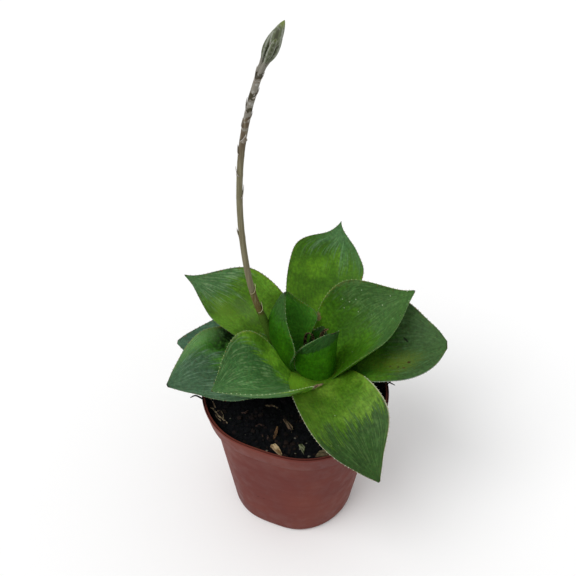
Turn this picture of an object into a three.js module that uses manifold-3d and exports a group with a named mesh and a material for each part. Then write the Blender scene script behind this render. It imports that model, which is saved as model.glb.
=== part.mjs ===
// A small haworthia in a plastic nursery pot: a stemless rosette of thick, boat-shaped leaves that hangs
// over the rim, and one slender flower stalk that ends in a tight spike of buds.
// Millimetres, +Z up. The origin is the middle of the pot's underside, and -Y is the front.
import * as THREE from 'three';
import { mergeVertices } from 'three/addons/utils/BufferGeometryUtils.js';
import Module from 'manifold-3d';

const wasm = await Module();
wasm.setup();

// ---------------------------------------------------------------- driving dimensions

const GAP = 0.35; // clearance between pieces that touch on the real plant

const POT = {
  height: 54,
  rimRadius: 32,
  collarHeight: 7.1,
  collarRadius: 30.7,
  bodyRadius: 28.9,
  baseRadius: 22.7,
  wall: 1.1,
  floor: 1.6,
  fillet: 1.2,
  lip: 0.3,
  segments: 56,
};

// One side of the pot is pressed in, a little left of the front.
const DENT = { angle: -110.5, share: 0.058, spread: 21.7 };

const DRAIN = { count: 5, radius: 2.6, ring: 14.5, first: -54, segments: 16 };

// The soil is level near the crown and falls off to the pot's wall.
const SOIL = { crown: 52.2, crownRadius: 8, slope: 51.6, slopeRadius: 20, edge: 51.1 };

const CROWN = { x: 6, y: 4, radius: 3.4, foot: 44, top: 58.5, shoulder: 1, segments: 16 };

// Leaves, from the lowest to the innermost. base is where the midrib starts. Angles are in degrees:
// azimuth from +X, rise above the horizon at the base, curl added to it along the blade, sweep added
// to the azimuth, roll about the midrib. trough is the channel's depth over the half width, widest the
// share of the length where the blade is broadest, point how drawn-out the tip is, and foot the half
// width at the base over the greatest.
const LEAVES = {
  leaf_low_back_left: {
    base: [2, 8, 54.5],
    azimuth: 124, rise: 10, curl: -8, sweep: 0, roll: 0,
    length: 31, width: 20, trough: 0.3, thick: 3.2, widest: 0.58, point: 0.3,
  },
  leaf_low_back_right: {
    base: [10, 8, 54.5],
    azimuth: 52, rise: 10, curl: -8, sweep: -4, roll: 0,
    length: 34, width: 21, trough: 0.3, thick: 3.2, widest: 0.58, point: 0.3,
  },
  leaf_far_left: {
    base: [3, 4.5, 56],
    azimuth: 171.5, rise: 18.5, curl: -13, sweep: 7, roll: -4,
    length: 44.8, width: 25.2, trough: 0.37, thick: 4, widest: 0.58, point: 0.25,
  },
  leaf_left: {
    base: [3.6, 2.1, 55.6],
    azimuth: 187, rise: 23, curl: -14, sweep: 29.5, roll: -11.5,
    length: 49.2, width: 31, trough: 0.38, thick: 4, widest: 0.58, point: 0.55,
  },
  leaf_right: {
    base: [9, 3.8, 57.5],
    azimuth: -2.5, rise: 36.5, curl: -26.5, sweep: -6, roll: 19.5,
    length: 43.4, width: 32.5, trough: 0.48, thick: 4, widest: 0.58, point: -0.3,
  },
  leaf_front_right: {
    base: [6.2, 1.1, 58.5],
    azimuth: -84, rise: 34.5, curl: -74, sweep: 38, roll: -2.5,
    length: 49.6, width: 26.5, trough: 0.5, thick: 4, widest: 0.58, point: 0.7,
  },
  leaf_back_left: {
    base: [2.3, 8.9, 55.4],
    azimuth: 156, rise: 37, curl: -6.5, sweep: 12.5, roll: -8,
    length: 51.7, width: 29.3, trough: 0.47, thick: 4, widest: 0.58, point: 1.1,
  },
  leaf_back: {
    base: [4.9, 9, 59],
    azimuth: 86.5, rise: 34, curl: 1.5, sweep: -23, roll: 29.5,
    length: 52, width: 27.2, trough: 0.29, thick: 4, widest: 0.64, point: 1.2,
  },
  leaf_front_left: {
    base: [2.6, -2.8, 56.3],
    azimuth: 222, rise: 42.9, curl: -16, sweep: 6, roll: -11.5,
    length: 45.3, width: 27.6, trough: 0.73, thick: 4, widest: 0.55, point: 0.83, foot: 0.25,
  },
  leaf_back_right: {
    base: [7.9, 3, 56.6],
    azimuth: 15.5, rise: 45.5, curl: 2.5, sweep: -7.5, roll: 18,
    length: 44.7, width: 29, trough: 0.8, thick: 4, widest: 0.58, point: 1,
  },
  leaf_inner_left: {
    base: [1.3, 3.2, 59.5],
    azimuth: 152, rise: 35, curl: 89, sweep: 35, roll: -18,
    length: 34, width: 19.5, trough: 1.2, thick: 3, widest: 0.58, point: -0.2,
  },
  leaf_inner_front: {
    base: [8.8, -3.5, 57],
    azimuth: -59.2, rise: 98, curl: -32, sweep: 25, roll: -20.8,
    length: 27.5, width: 15.6, trough: 0.63, thick: 4.2, widest: 0.35, point: -0.38, foot: 0.25,
  },
  leaf_heart: {
    base: [7, 6, 57],
    azimuth: 50, rise: 66, curl: 25, sweep: 0, roll: 0,
    length: 17, width: 10, trough: 0.7, thick: 2.4, widest: 0.58, point: 0.3,
  },
};

// What all the leaves share. foot is for leaves that don't give their own. ease, round and drawn bend
// the outline. twist: how much of the roll there is at the base. belly: the underside's power.
const BLADE = {
  foot: 0.5, ease: 1.2, round: 2.2, drawn: 1.25, drawnLeast: 0.33, drawnMore: 0.52,
  twist: 0.35, channelStart: 0.15, channelRun: 0.75, taper: 0.55, swell: 0.25, belly: 1.3, crest: 0.06,
};

const LEAF_MESH = { ring: 12, stations: 13, crowding: 0.85, fine: 60 };

// The flower stalk's line, from the crown to the foot of the bud spike.
const STALK = {
  line: [
    [1.0, 4.6, 57], [-4.5, 5, 62], [-9.9, 5, 76.9], [-14.1, 5, 91.6], [-16.2, 5, 108],
    [-16.7, 5, 124.5], [-15.5, 5, 140], [-12.9, 5, 152.6], [-10.1, 5, 161.5],
  ],
  foot: 1.15,
  tip: 0.8,
  segments: 8,
  rings: 26,
};

// The bracts clasp the stalk closer and closer together upwards: height, facing in degrees from the
// right and length.
const BRACTS = {
  places: [
    [83, 35, 3.4], [90.5, 25, 4], [112, 175, 3], [125.5, 10, 4], [132.5, 190, 2.8],
    [138.5, 165, 2.8], [142.5, -60, 2.8], [146, 150, 2.8], [148.6, 0, 2.8], [150.6, 172, 4],
    [154.6, 5, 3.2], [158.6, 178, 4.2], [158.9, 0, 3],
  ],
  halfAngle: 70,
  thick: 0.25,
  flare: 0.2,
  ring: 8,
  steps: 5,
};

// The bud spike leans to the right: four buds round its axis and one at its end.
const SPIKE = { lean: 26.2, close: 0.65, bulge: 0.35, ring: 8, steps: 8 };
const WHORL = { count: 4, firstFacing: 180, offset: 1.1, length: 9.4, radius: 0.62 };
const END_BUD = { start: 6.6, length: 7.1, radius: 0.95 };

// Bits of bark and stone on the soil: place, size, turn about Z, and tint. Each is thinner at one end.
const CHIP_TAPER = 0.55;
const CHIPS = {
  chip_cream: { at: [-5.6, -25.3], size: [7, 2.7, 1.6], turn: -46, tint: 0xd8c79b },
  chip_grey: { at: [2.5, -24.2], size: [4.6, 2.7, 1.5], turn: -62, tint: 0x9aa283 },
  chip_tan: { at: [9.4, -26.2], size: [4.4, 2.6, 1.4], turn: -12, tint: 0xa8956a },
  chip_bark_left: { at: [-6.2, -18.6], size: [5.6, 2, 1.2], turn: 74, tint: 0x4b3324 },
  chip_bark_right: { at: [-2.2, -15.4], size: [6.4, 2.2, 1.3], turn: 62, tint: 0x553a28 },
  chip_bark_back: { at: [-12, 20], size: [6, 2.4, 1.3], turn: 20, tint: 0x4b3324 },
};

// Dry shreds of old leaves wedged in the crown.
const SHRED_MESH = { ring: 8, steps: 6 };
const HUSKS = {
  husk_front: { from: [3.4, -14.8, 67.6], to: [8.9, -9.5, 65], width: 1.6, thick: 0.5 },
  husk_heart: { from: [4.6, 12, 60], to: [4.8, 9.5, 68], width: 2, thick: 0.5 },
};

const COLOURS = {
  pot: 0x935a4d,
  soil: 0x17130f,
  crown: 0x6f7a3c,
  leaf: 0x4b7a2c,
  stalk: 0x6f6742,
  bract: 0x9c9a84,
  bud: 0x6d7257,
  husk: 0x8d7462,
};

// ---------------------------------------------------------------- helpers

const radians = THREE.MathUtils.degToRad;
const group = new THREE.Group();

function material(color, roughness) {
  return new THREE.MeshStandardMaterial({ color, roughness, metalness: 0 });
}

// A closed geometry as a solid, with its doubled vertices joined.
function solidOf(geometry) {
  const plain = geometry.clone();
  plain.deleteAttribute('normal');
  plain.deleteAttribute('uv');
  const merged = mergeVertices(plain, 1e-4);
  const source = merged.index.array;
  const corners = [];
  for (let i = 0; i < source.length; i += 3) {
    const [a, b, c] = [source[i], source[i + 1], source[i + 2]];
    if (a !== b && b !== c && c !== a) corners.push(a, b, c);
  }
  const mesh = new wasm.Mesh({
    numProp: 3,
    vertProperties: new Float32Array(merged.attributes.position.array),
    triVerts: new Uint32Array(corners),
  });
  return new wasm.Manifold(mesh);
}

function geometryOf(solid) {
  const mesh = solid.getMesh();
  const geometry = new THREE.BufferGeometry();
  geometry.setAttribute('position', new THREE.BufferAttribute(new Float32Array(mesh.vertProperties), 3));
  geometry.setIndex(new THREE.BufferAttribute(new Uint32Array(mesh.triVerts), 1));
  geometry.computeVertexNormals();
  return geometry;
}

// The largest of the bodies that a cut leaves.
function largest(solid) {
  const bodies = solid.decompose();
  return bodies.reduce((best, body) => (body.volume() > best.volume() ? body : best), bodies[0]);
}

function boxesMeet(a, b) {
  const [p, q] = [a.boundingBox(), b.boundingBox()];
  return [0, 1, 2].every((k) => p.min[k] < q.max[k] && q.min[k] < p.max[k]);
}

function addPiece(name, solid, color, roughness) {
  const mesh = new THREE.Mesh(geometryOf(solid), material(color, roughness));
  mesh.name = name;
  group.add(mesh);
}

// A closed skin made from a sphere: place(step, around) gives the point for the step-th ring, counted
// from one pole to the other, and the angle around it.
function wrapSphere(ring, steps, place) {
  const geometry = new THREE.SphereGeometry(1, ring, steps);
  const { position } = geometry.attributes;
  for (let i = 0; i < position.count; i++) {
    const step = Math.floor(i / (ring + 1));
    const pole = step === 0 || step === steps;
    const around = pole ? 0 : (-2 * Math.PI * (i % (ring + 1))) / ring;
    const point = place(step, around);
    position.setXYZ(i, point.x, point.y, point.z);
  }
  return geometry;
}

// ---------------------------------------------------------------- pot and soil

function dentAt(angle) {
  const away = ((THREE.MathUtils.radToDeg(angle) - DENT.angle + 540) % 360) - 180;
  return 1 - DENT.share * Math.exp(-((away / DENT.spread) ** 2));
}

// A turned shape with the dent pressed in.
function turned(profile) {
  const points = profile.map(([radius, z]) => new THREE.Vector2(radius, z));
  const geometry = new THREE.LatheGeometry(points, POT.segments);
  geometry.rotateX(Math.PI / 2);
  const { position } = geometry.attributes;
  for (let i = 0; i < position.count; i++) {
    const [x, y] = [position.getX(i), position.getY(i)];
    const pressed = dentAt(Math.atan2(y, x));
    position.setXYZ(i, x * pressed, y * pressed, position.getZ(i));
  }
  return solidOf(geometry);
}

const COLLAR_Z = POT.height - POT.collarHeight;

// Outer radius of the pot's body at a height below the collar.
function bodyRadius(z) {
  return THREE.MathUtils.mapLinear(z, 0, COLLAR_Z, POT.baseRadius, POT.bodyRadius);
}

function makePot() {
  const { height, wall, floor, fillet, rimRadius, collarRadius } = POT;
  const profile = [
    [0, 0],
    [POT.baseRadius - fillet, 0],
    [POT.baseRadius - fillet / 3, fillet / 3],
    [bodyRadius(fillet), fillet],
    [bodyRadius(COLLAR_Z), COLLAR_Z],
    [collarRadius, COLLAR_Z],
    [rimRadius, height - POT.lip],
    [rimRadius - POT.lip, height],
    [rimRadius - wall, height],
    [collarRadius - wall, COLLAR_Z + wall],
    [bodyRadius(COLLAR_Z) - wall, COLLAR_Z + wall],
    [bodyRadius(floor) - wall, floor],
    [0, floor],
  ];
  let pot = turned(profile);
  for (let i = 0; i < DRAIN.count; i++) {
    const angle = radians(DRAIN.first + (360 / DRAIN.count) * i);
    const hole = new THREE.CylinderGeometry(DRAIN.radius, DRAIN.radius, 4 * floor, DRAIN.segments);
    hole.rotateX(Math.PI / 2);
    hole.translate(DRAIN.ring * Math.cos(angle), DRAIN.ring * Math.sin(angle), 0);
    pot = pot.subtract(solidOf(hole));
  }
  return pot;
}

function makeSoil() {
  const { wall, floor } = POT;
  const inset = wall + GAP;
  const step = COLLAR_Z + wall + GAP;
  const rise = (SOIL.edge - COLLAR_Z) / POT.collarHeight;
  const topRadius = THREE.MathUtils.lerp(POT.collarRadius, POT.rimRadius, rise);
  return turned([
    [0, floor + GAP],
    [bodyRadius(floor + GAP) - inset, floor + GAP],
    [bodyRadius(COLLAR_Z) - inset, step - 0.1],
    [POT.collarRadius - inset, step],
    [topRadius - inset, SOIL.edge],
    [SOIL.slopeRadius, SOIL.slope],
    [SOIL.crownRadius, SOIL.crown],
    [0, SOIL.crown],
  ]);
}

// ---------------------------------------------------------------- leaves

// Half width over the greatest half width: broad at the base, widest past the middle, then drawn
// out to the tip.
function bladeShare(along, { widest, point, foot = BLADE.foot }) {
  if (along <= widest) {
    const grown = Math.sin(((Math.PI / 2) * along) / widest) ** BLADE.ease;
    return THREE.MathUtils.lerp(foot, 1, grown);
  }
  const t = (along - widest) / (1 - widest);
  const round = Math.sqrt(Math.max(0, 1 - t ** BLADE.round));
  const drawn = 0.5 * (1 + Math.cos(Math.PI * t ** BLADE.drawn));
  return THREE.MathUtils.lerp(round, drawn, BLADE.drawnLeast + BLADE.drawnMore * point);
}

// The midrib as stations along it, each with its point and heading.
function midrib(leaf, steps) {
  const azimuth = radians(leaf.azimuth);
  const heading = (along) => {
    const rise = radians(leaf.rise + leaf.curl * along);
    const turn = azimuth + radians(leaf.sweep * along);
    const level = new THREE.Vector3(Math.cos(turn), Math.sin(turn), 0);
    return level.multiplyScalar(Math.cos(rise)).setZ(Math.sin(rise));
  };
  const rib = [{ point: new THREE.Vector3(...leaf.base), heading: heading(0) }];
  for (let i = 1; i <= steps; i++) {
    const stride = heading((i - 0.5) / steps).multiplyScalar(leaf.length / steps);
    rib.push({ point: rib[i - 1].point.clone().add(stride), heading: heading(i / steps) });
  }
  return rib;
}

// A leaf, with its surface moved outwards by grow.
function makeLeaf(leaf, grow = 0) {
  const { ring, stations, crowding, fine } = LEAF_MESH;
  const rib = midrib(leaf, fine);
  const place = (step, around) => {
    const along = (Math.max(0, step - 1) / stations) ** crowding;
    const { point, heading } = rib[Math.round(Math.min(1, along) * fine)];
    const turn = radians(leaf.azimuth + leaf.sweep * along);
    const level = new THREE.Vector3(-Math.sin(turn), Math.cos(turn), 0);
    const roll = radians(leaf.roll) * THREE.MathUtils.lerp(BLADE.twist, 1, along);
    const side = level.applyAxisAngle(heading, roll);
    const face = new THREE.Vector3().crossVectors(heading, side);
    if (step === 0) return point.clone().addScaledVector(heading, -grow);
    if (step === stations + 1) return point.clone().addScaledVector(heading, 2 * grow);
    const half = (leaf.width / 2) * bladeShare(along, leaf);
    const trough = leaf.trough * Math.sin(Math.PI * (BLADE.channelStart + BLADE.channelRun * along));
    const swell = 1 - BLADE.swell * (1 - Math.sin(Math.PI * along));
    const thick = Math.min(leaf.thick * (1 - along) ** BLADE.taper * swell, 0.9 * half);
    const [c, s] = [Math.cos(around), Math.sin(around)];
    const skin = s > 0 ? BLADE.crest * half * s * s : -thick * Math.abs(s) ** BLADE.belly;
    const slope = 2 * trough * c;
    const outwards = grow / Math.hypot(1, slope);
    return point.clone()
      .addScaledVector(side, half * c + outwards * (c - s * slope))
      .addScaledVector(face, trough * half * c * c + skin + outwards * (s + c * slope))
      .addScaledVector(heading, step === 1 ? -grow : 0);
  };
  return solidOf(wrapSphere(ring, stations + 1, place));
}

// ---------------------------------------------------------------- crown and flower stalk

function makeCrown(grow = 0) {
  const { radius, foot, top, shoulder } = CROWN;
  const profile = [
    [0, foot - grow],
    [radius + grow, foot - grow],
    [radius + grow, top - shoulder + grow],
    [radius - shoulder + grow, top + grow],
    [0, top + grow],
  ];
  const points = profile.map(([r, z]) => new THREE.Vector2(r, z));
  const geometry = new THREE.LatheGeometry(points, CROWN.segments);
  geometry.rotateX(Math.PI / 2);
  geometry.translate(CROWN.x, CROWN.y, 0);
  return solidOf(geometry);
}

const stalkLine = new THREE.CatmullRomCurve3(STALK.line.map((p) => new THREE.Vector3(...p)));

// The stalk's point, heading and two cross directions at a share of its length.
function stalkFrame(share) {
  const point = stalkLine.getPointAt(share);
  const heading = stalkLine.getTangentAt(share);
  const right = new THREE.Vector3().crossVectors(new THREE.Vector3(0, 1, 0), heading).normalize();
  const back = new THREE.Vector3().crossVectors(heading, right);
  return { point, heading, right, back };
}

function stalkRadius(share) {
  return THREE.MathUtils.lerp(STALK.foot, STALK.tip, share);
}

function makeStalk(grow = 0) {
  const geometry = new THREE.CylinderGeometry(1, 1, 1, STALK.segments, STALK.rings);
  const { position } = geometry.attributes;
  for (let i = 0; i < position.count; i++) {
    const share = THREE.MathUtils.clamp(position.getY(i) + 0.5, 0, 1);
    const { point, heading, right, back } = stalkFrame(share);
    const end = share === 0 ? -grow : share === 1 ? grow : 0;
    const radius = stalkRadius(share) + grow;
    point.addScaledVector(right, position.getX(i) * radius)
      .addScaledVector(back, -position.getZ(i) * radius)
      .addScaledVector(heading, end);
    position.setXYZ(i, point.x, point.y, point.z);
  }
  return solidOf(geometry);
}

// The share of the stalk's length at which it reaches a height.
function shareAtHeight(height) {
  let [low, high] = [0, 1];
  const halvings = 30;
  for (let i = 0; i < halvings; i++) {
    const middle = (low + high) / 2;
    if (stalkLine.getPointAt(middle).z < height) low = middle;
    else high = middle;
  }
  return low;
}

// A papery scale that clasps the stalk and stands off at its tip.
function makeBract([height, facing, length]) {
  const { halfAngle, thick, flare, ring, steps } = BRACTS;
  const base = shareAtHeight(height);
  const place = (step, around) => {
    const along = step / steps;
    const { point, heading, right, back } = stalkFrame(base);
    const width = Math.sin(Math.PI * along ** 0.6) ** 0.8;
    const angle = radians(facing - halfAngle * width * Math.cos(around));
    const inner = stalkRadius(base) + GAP + flare * along * along;
    const radius = inner + 0.5 * thick * (1 + width * Math.sin(around));
    return point.addScaledVector(heading, along * length)
      .addScaledVector(right, radius * Math.cos(angle))
      .addScaledVector(back, radius * Math.sin(angle));
  };
  return solidOf(wrapSphere(ring, steps, place));
}

// A pointed bud, lying along the spike's axis at a distance from it.
function makeBud(start, offset, facing, length, radius) {
  const { point } = stalkFrame(1);
  const lean = radians(SPIKE.lean);
  const heading = new THREE.Vector3(Math.sin(lean), 0, Math.cos(lean));
  const right = new THREE.Vector3(Math.cos(lean), 0, -Math.sin(lean));
  const back = new THREE.Vector3(0, 1, 0);
  const away = right.multiplyScalar(Math.cos(radians(facing)))
    .addScaledVector(back, Math.sin(radians(facing)));
  const tangent = new THREE.Vector3().crossVectors(heading, away);
  const { close, bulge, ring, steps } = SPIKE;
  const place = (step, around) => {
    const along = step / steps;
    const girth = radius * Math.sin(Math.PI * along ** 0.8) ** 0.75;
    const distance = offset * (close + bulge * Math.sin(0.6 * Math.PI * along));
    return point.clone()
      .addScaledVector(heading, start + along * length)
      .addScaledVector(away, distance + girth * Math.cos(around))
      .addScaledVector(tangent, girth * Math.sin(around));
  };
  return solidOf(wrapSphere(ring, steps, place));
}

// ---------------------------------------------------------------- bits on the soil and dry husks

function soilHeight(radius) {
  const away = (radius - SOIL.crownRadius) / (SOIL.slopeRadius - SOIL.crownRadius);
  return THREE.MathUtils.lerp(SOIL.crown, SOIL.slope, Math.max(0, away));
}

// A chip with one end thinner than the other.
function makeChip({ at, size, turn }) {
  const [length, width, height] = size;
  const chip = new THREE.BoxGeometry(length, width, height);
  const { position } = chip.attributes;
  for (let i = 0; i < position.count; i++) {
    const taper = position.getX(i) < 0 ? 1 : CHIP_TAPER;
    const rise = (position.getZ(i) + height / 2) * taper;
    position.setXYZ(i, position.getX(i), position.getY(i) * taper, rise);
  }
  chip.rotateZ(radians(turn));
  chip.translate(at[0], at[1], soilHeight(Math.hypot(...at)) + GAP);
  return solidOf(chip);
}

// A flat shred stretched from one place to another.
function makeShred({ from, to, width, thick }) {
  const start = new THREE.Vector3(...from);
  const run = new THREE.Vector3(...to).sub(start);
  const side = new THREE.Vector3(-run.y, run.x, 0).normalize();
  const face = new THREE.Vector3().crossVectors(run, side).normalize();
  const { ring, steps } = SHRED_MESH;
  const place = (step, around) => {
    const along = step / steps;
    const girth = Math.sin(Math.PI * along) ** 0.6;
    return start.clone()
      .addScaledVector(run, along)
      .addScaledVector(side, 0.5 * width * girth * Math.cos(around))
      .addScaledVector(face, 0.5 * thick * girth * Math.sin(around));
  };
  return solidOf(wrapSphere(ring, steps, place));
}

// ---------------------------------------------------------------- assembly

addPiece('pot', makePot(), COLOURS.pot, 0.55);
addPiece('soil', makeSoil().subtract(makeCrown(GAP)), COLOURS.soil, 1);
addPiece('crown', makeCrown(), COLOURS.crown, 0.8);
addPiece('flower_stalk', makeStalk().subtract(makeCrown(GAP)), COLOURS.stalk, 0.7);

// Each leaf gives way to the ones inside it, as the bases of a rosette clasp one another.
const inside = [makeCrown(GAP), makeStalk(GAP)];
for (const name of Object.keys(LEAVES).reverse()) {
  let solid = makeLeaf(LEAVES[name]);
  for (const inner of inside) {
    if (boxesMeet(solid, inner)) solid = solid.subtract(inner);
  }
  addPiece(name, largest(solid), COLOURS.leaf, 0.45);
  inside.push(makeLeaf(LEAVES[name], GAP));
}

BRACTS.places.forEach((place, i) => {
  addPiece(`bract_${i + 1}`, makeBract(place), COLOURS.bract, 0.8);
});

let endBud = makeBud(END_BUD.start, 0, 0, END_BUD.length, END_BUD.radius);
for (let i = 0; i < WHORL.count; i++) {
  const { offset, length, radius } = WHORL;
  const facing = WHORL.firstFacing + (360 / WHORL.count) * i;
  addPiece(`bud_${i + 1}`, makeBud(GAP, offset, facing, length, radius), COLOURS.bud, 0.6);
  endBud = endBud.subtract(makeBud(0, offset, facing, length + 2 * GAP, radius + GAP));
}
addPiece('bud_end', largest(endBud), COLOURS.bud, 0.6);

for (const [name, chip] of Object.entries(CHIPS)) addPiece(name, makeChip(chip), chip.tint, 0.9);

for (const [name, husk] of Object.entries(HUSKS)) {
  let solid = makeShred(husk);
  for (const inner of inside) {
    if (boxesMeet(solid, inner)) solid = solid.subtract(inner);
  }
  addPiece(name, largest(solid), COLOURS.husk, 0.9);
}

group.name = 'potted_haworthia';
export default group;
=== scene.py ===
# %% [markdown]
# # A potted haworthia
# A rosette of thick, boat-shaped leaves hangs over the rim of a small plastic nursery pot, and one thin
# flower stalk stands up out of its heart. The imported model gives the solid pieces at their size
# and place. Here each of them gets its finished surface: fine leaves with streaks, pale margins and
# small teeth, a moulded pot with a collar and a lip, crumbly soil, a stalk with papery bracts and buds.
#
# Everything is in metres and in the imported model's own frame: the origin is the middle of the pot's
# underside, +Z is up and -Y is the front.

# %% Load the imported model
import math
import random

import bpy
from mathutils import Matrix, Vector, geometry, noise


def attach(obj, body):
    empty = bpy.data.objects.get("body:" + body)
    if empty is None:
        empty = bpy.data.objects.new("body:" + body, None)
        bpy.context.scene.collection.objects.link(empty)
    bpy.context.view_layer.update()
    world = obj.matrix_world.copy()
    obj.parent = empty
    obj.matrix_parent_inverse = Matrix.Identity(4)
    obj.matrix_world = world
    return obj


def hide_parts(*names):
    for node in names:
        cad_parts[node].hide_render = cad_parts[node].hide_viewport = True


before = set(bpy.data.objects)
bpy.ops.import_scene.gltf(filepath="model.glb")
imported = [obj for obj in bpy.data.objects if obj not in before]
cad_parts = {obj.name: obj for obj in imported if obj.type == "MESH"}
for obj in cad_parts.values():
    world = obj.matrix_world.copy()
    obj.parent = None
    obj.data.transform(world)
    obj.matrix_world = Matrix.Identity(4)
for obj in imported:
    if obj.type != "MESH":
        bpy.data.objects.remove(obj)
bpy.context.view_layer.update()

MM = 0.001

# %% [markdown]
# ## Camera
# The rim of the pot is a circle, taken as 64 mm across, so its outline in the picture fixes where the
# camera stood: a little more than 0.2 m up, looking down at almost 39 degrees, turned and rolled by
# a hair.
# Blender's camera looks along its own -Z, so the three columns of its matrix are right, up and back.

# %% Camera
CAMERA_PLACE = (0.0, -0.1565, 0.2230)
CAMERA_TURN = math.radians(-1.0)
CAMERA_PITCH = math.radians(38.9)
CAMERA_ROLL = math.radians(0.4)
CAMERA_LENS = 41.5


def make_camera():
    level = Vector((math.cos(CAMERA_TURN), -math.sin(CAMERA_TURN), 0))
    flat = Vector((math.sin(CAMERA_TURN), math.cos(CAMERA_TURN), 0))
    ahead = flat * math.cos(CAMERA_PITCH) - Vector((0, 0, math.sin(CAMERA_PITCH)))
    upright = level.cross(ahead)
    right = level * math.cos(CAMERA_ROLL) + upright * math.sin(CAMERA_ROLL)
    up = upright * math.cos(CAMERA_ROLL) - level * math.sin(CAMERA_ROLL)
    lens = bpy.data.cameras.new("camera")
    lens.lens = CAMERA_LENS
    lens.sensor_width = 36
    camera = bpy.data.objects.new("camera", lens)
    bpy.context.scene.collection.objects.link(camera)
    turn = Matrix((right, up, -ahead)).transposed().to_4x4()
    camera.matrix_world = Matrix.Translation(CAMERA_PLACE) @ turn
    bpy.context.scene.camera = camera
    return camera


print("camera at", make_camera().location)

# %% [markdown]
# ## Helpers for modelling
# Operators act on whatever is selected, so every piece starts with nothing selected. `edit_mode` goes
# in and out of edit mode, and `outwards` merges doubled points and turns the faces outwards at the end.
# `store` keeps values for the finish on a mesh, and `gather` puts many copies of small models into one
# mesh, with such a value on each copy.

# %% Helpers for modelling


def new_piece(name):
    """Names the primitive that has just been added, and puts its place into its mesh."""
    piece = bpy.context.object
    piece.name = piece.data.name = name
    bpy.ops.object.transform_apply(location=True, rotation=True, scale=True)
    return piece


def edit_mode(on):
    bpy.ops.object.mode_set(mode="EDIT" if on else "OBJECT")


def clear_selection():
    bpy.ops.object.select_all(action="DESELECT")


def outwards(piece):
    """Merges doubled points and turns every face outwards."""
    bpy.context.view_layer.objects.active = piece
    edit_mode(True)
    bpy.ops.mesh.select_all(action="SELECT")
    bpy.ops.mesh.remove_doubles(threshold=0.00001)
    bpy.ops.mesh.normals_make_consistent(inside=False)
    edit_mode(False)


def apply_modifier(piece, label, kind, **settings):
    """Adds a modifier, sets it and applies it."""
    modifier = piece.modifiers.new(label, kind)
    for name, value in settings.items():
        setattr(modifier, name, value)
    bpy.context.view_layer.objects.active = piece
    bpy.ops.object.modifier_apply(modifier=modifier.name)


def store(piece, label, numbers):
    """Keeps one number for each point on the mesh, where a finish can read it."""
    piece.data.attributes.new(label, "FLOAT", "POINT").data.foreach_set("value", numbers)


def gather(name, placings):
    """One mesh out of many copies: placings holds (mesh, matrix, values by attribute name)."""
    points, faces, values = [], [], {}
    for model, matrix, marks in placings:
        first = len(points)
        points += [matrix @ point.co for point in model.vertices]
        faces += [[first + index for index in face.vertices] for face in model.polygons]
        for label, value in marks.items():
            values.setdefault(label, []).extend([value] * len(model.vertices))
    mesh = bpy.data.meshes.new(name)
    mesh.from_pydata(points, [], faces)
    piece = bpy.data.objects.new(name, mesh)
    for label, numbers in values.items():
        store(piece, label, numbers)
    bpy.context.scene.collection.objects.link(piece)
    return piece


def keep_mesh_only(piece):
    """Takes a model's object away and keeps its mesh, to be copied."""
    mesh = piece.data
    bpy.data.objects.remove(piece)
    return mesh


def finish_piece(piece, material, slot, *nodes):
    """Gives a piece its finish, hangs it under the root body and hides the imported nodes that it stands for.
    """
    piece.data.materials.clear()
    piece.data.materials.append(material)
    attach(piece, "root")
    if nodes:
        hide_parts(*nodes)
    triangles = sum(len(face.vertices) - 2 for face in piece.data.polygons)
    print(f"{piece.name}: {triangles} triangles")
    return piece


print("the helpers for modelling are ready")

# %% [markdown]
# ## Helpers for finishes
# A finish is a small tree of nodes. `node` adds one and wires it up in a single call: settings go in as
# keywords, and sockets as a dictionary whose values are numbers, colours or other nodes' outputs.

# %% Helpers for finishes


def colour(code):
    """A colour from its usual six-digit code, as the linear values that the shader wants."""
    parts = [int(code[i:i + 2], 16) / 255 for i in (0, 2, 4)]
    linear = [v / 12.92 if v <= 0.04045 else ((v + 0.055) / 1.055) ** 2.4 for v in parts]
    return (*linear, 1)


def node(tree, kind, sockets=None, **settings):
    made = tree.nodes.new("ShaderNode" + kind)
    for name, value in settings.items():
        setattr(made, name, value)
    for name, value in (sockets or {}).items():
        if isinstance(value, bpy.types.NodeSocket):
            tree.links.new(value, made.inputs[name])
        else:
            made.inputs[name].default_value = value
    return made


def maths(tree, operation, first, second=0.0, third=0.0):
    return node(tree, "Math", {0: first, 1: second, 2: third}, operation=operation).outputs[0]


def ramp(tree, value, low, high, to_low=0.0, to_high=1.0):
    """A smooth step: to_low below low, to_high above high."""
    sockets = {"Value": value, "From Min": low, "From Max": high, "To Min": to_low, "To Max": to_high}
    return node(tree, "MapRange", sockets, interpolation_type="SMOOTHSTEP").outputs["Result"]


def mix(tree, share, first, second, blend="MIX"):
    made = node(tree, "Mix", data_type="RGBA", blend_type=blend)
    for index, value in ((0, share), (6, first), (7, second)):
        if isinstance(value, bpy.types.NodeSocket):
            tree.links.new(value, made.inputs[index])
        else:
            made.inputs[index].default_value = value
    return made.outputs[2]


def grain(tree, vector, scale, detail=2.0, roughness=0.5):
    sockets = {"Vector": vector, "Scale": scale, "Detail": detail, "Roughness": roughness}
    return node(tree, "TexNoise", sockets).outputs["Fac"]


def bump(tree, height, strength, distance):
    sockets = {"Height": height, "Strength": strength, "Distance": distance}
    return node(tree, "Bump", sockets).outputs["Normal"]


print("the helpers for nodes are ready")

# %% [markdown]
# Every finish starts from the same shader, and most of them read the same few things: the place on the
# piece, a value stored on its points, or a soft oval round one place, for a mark or a smudge.

# %% Helpers for whole finishes
# How much noise moves a ragged outline in or out over its whole range, as a share of the oval's size.
RAGGEDNESS = 1.6


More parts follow.
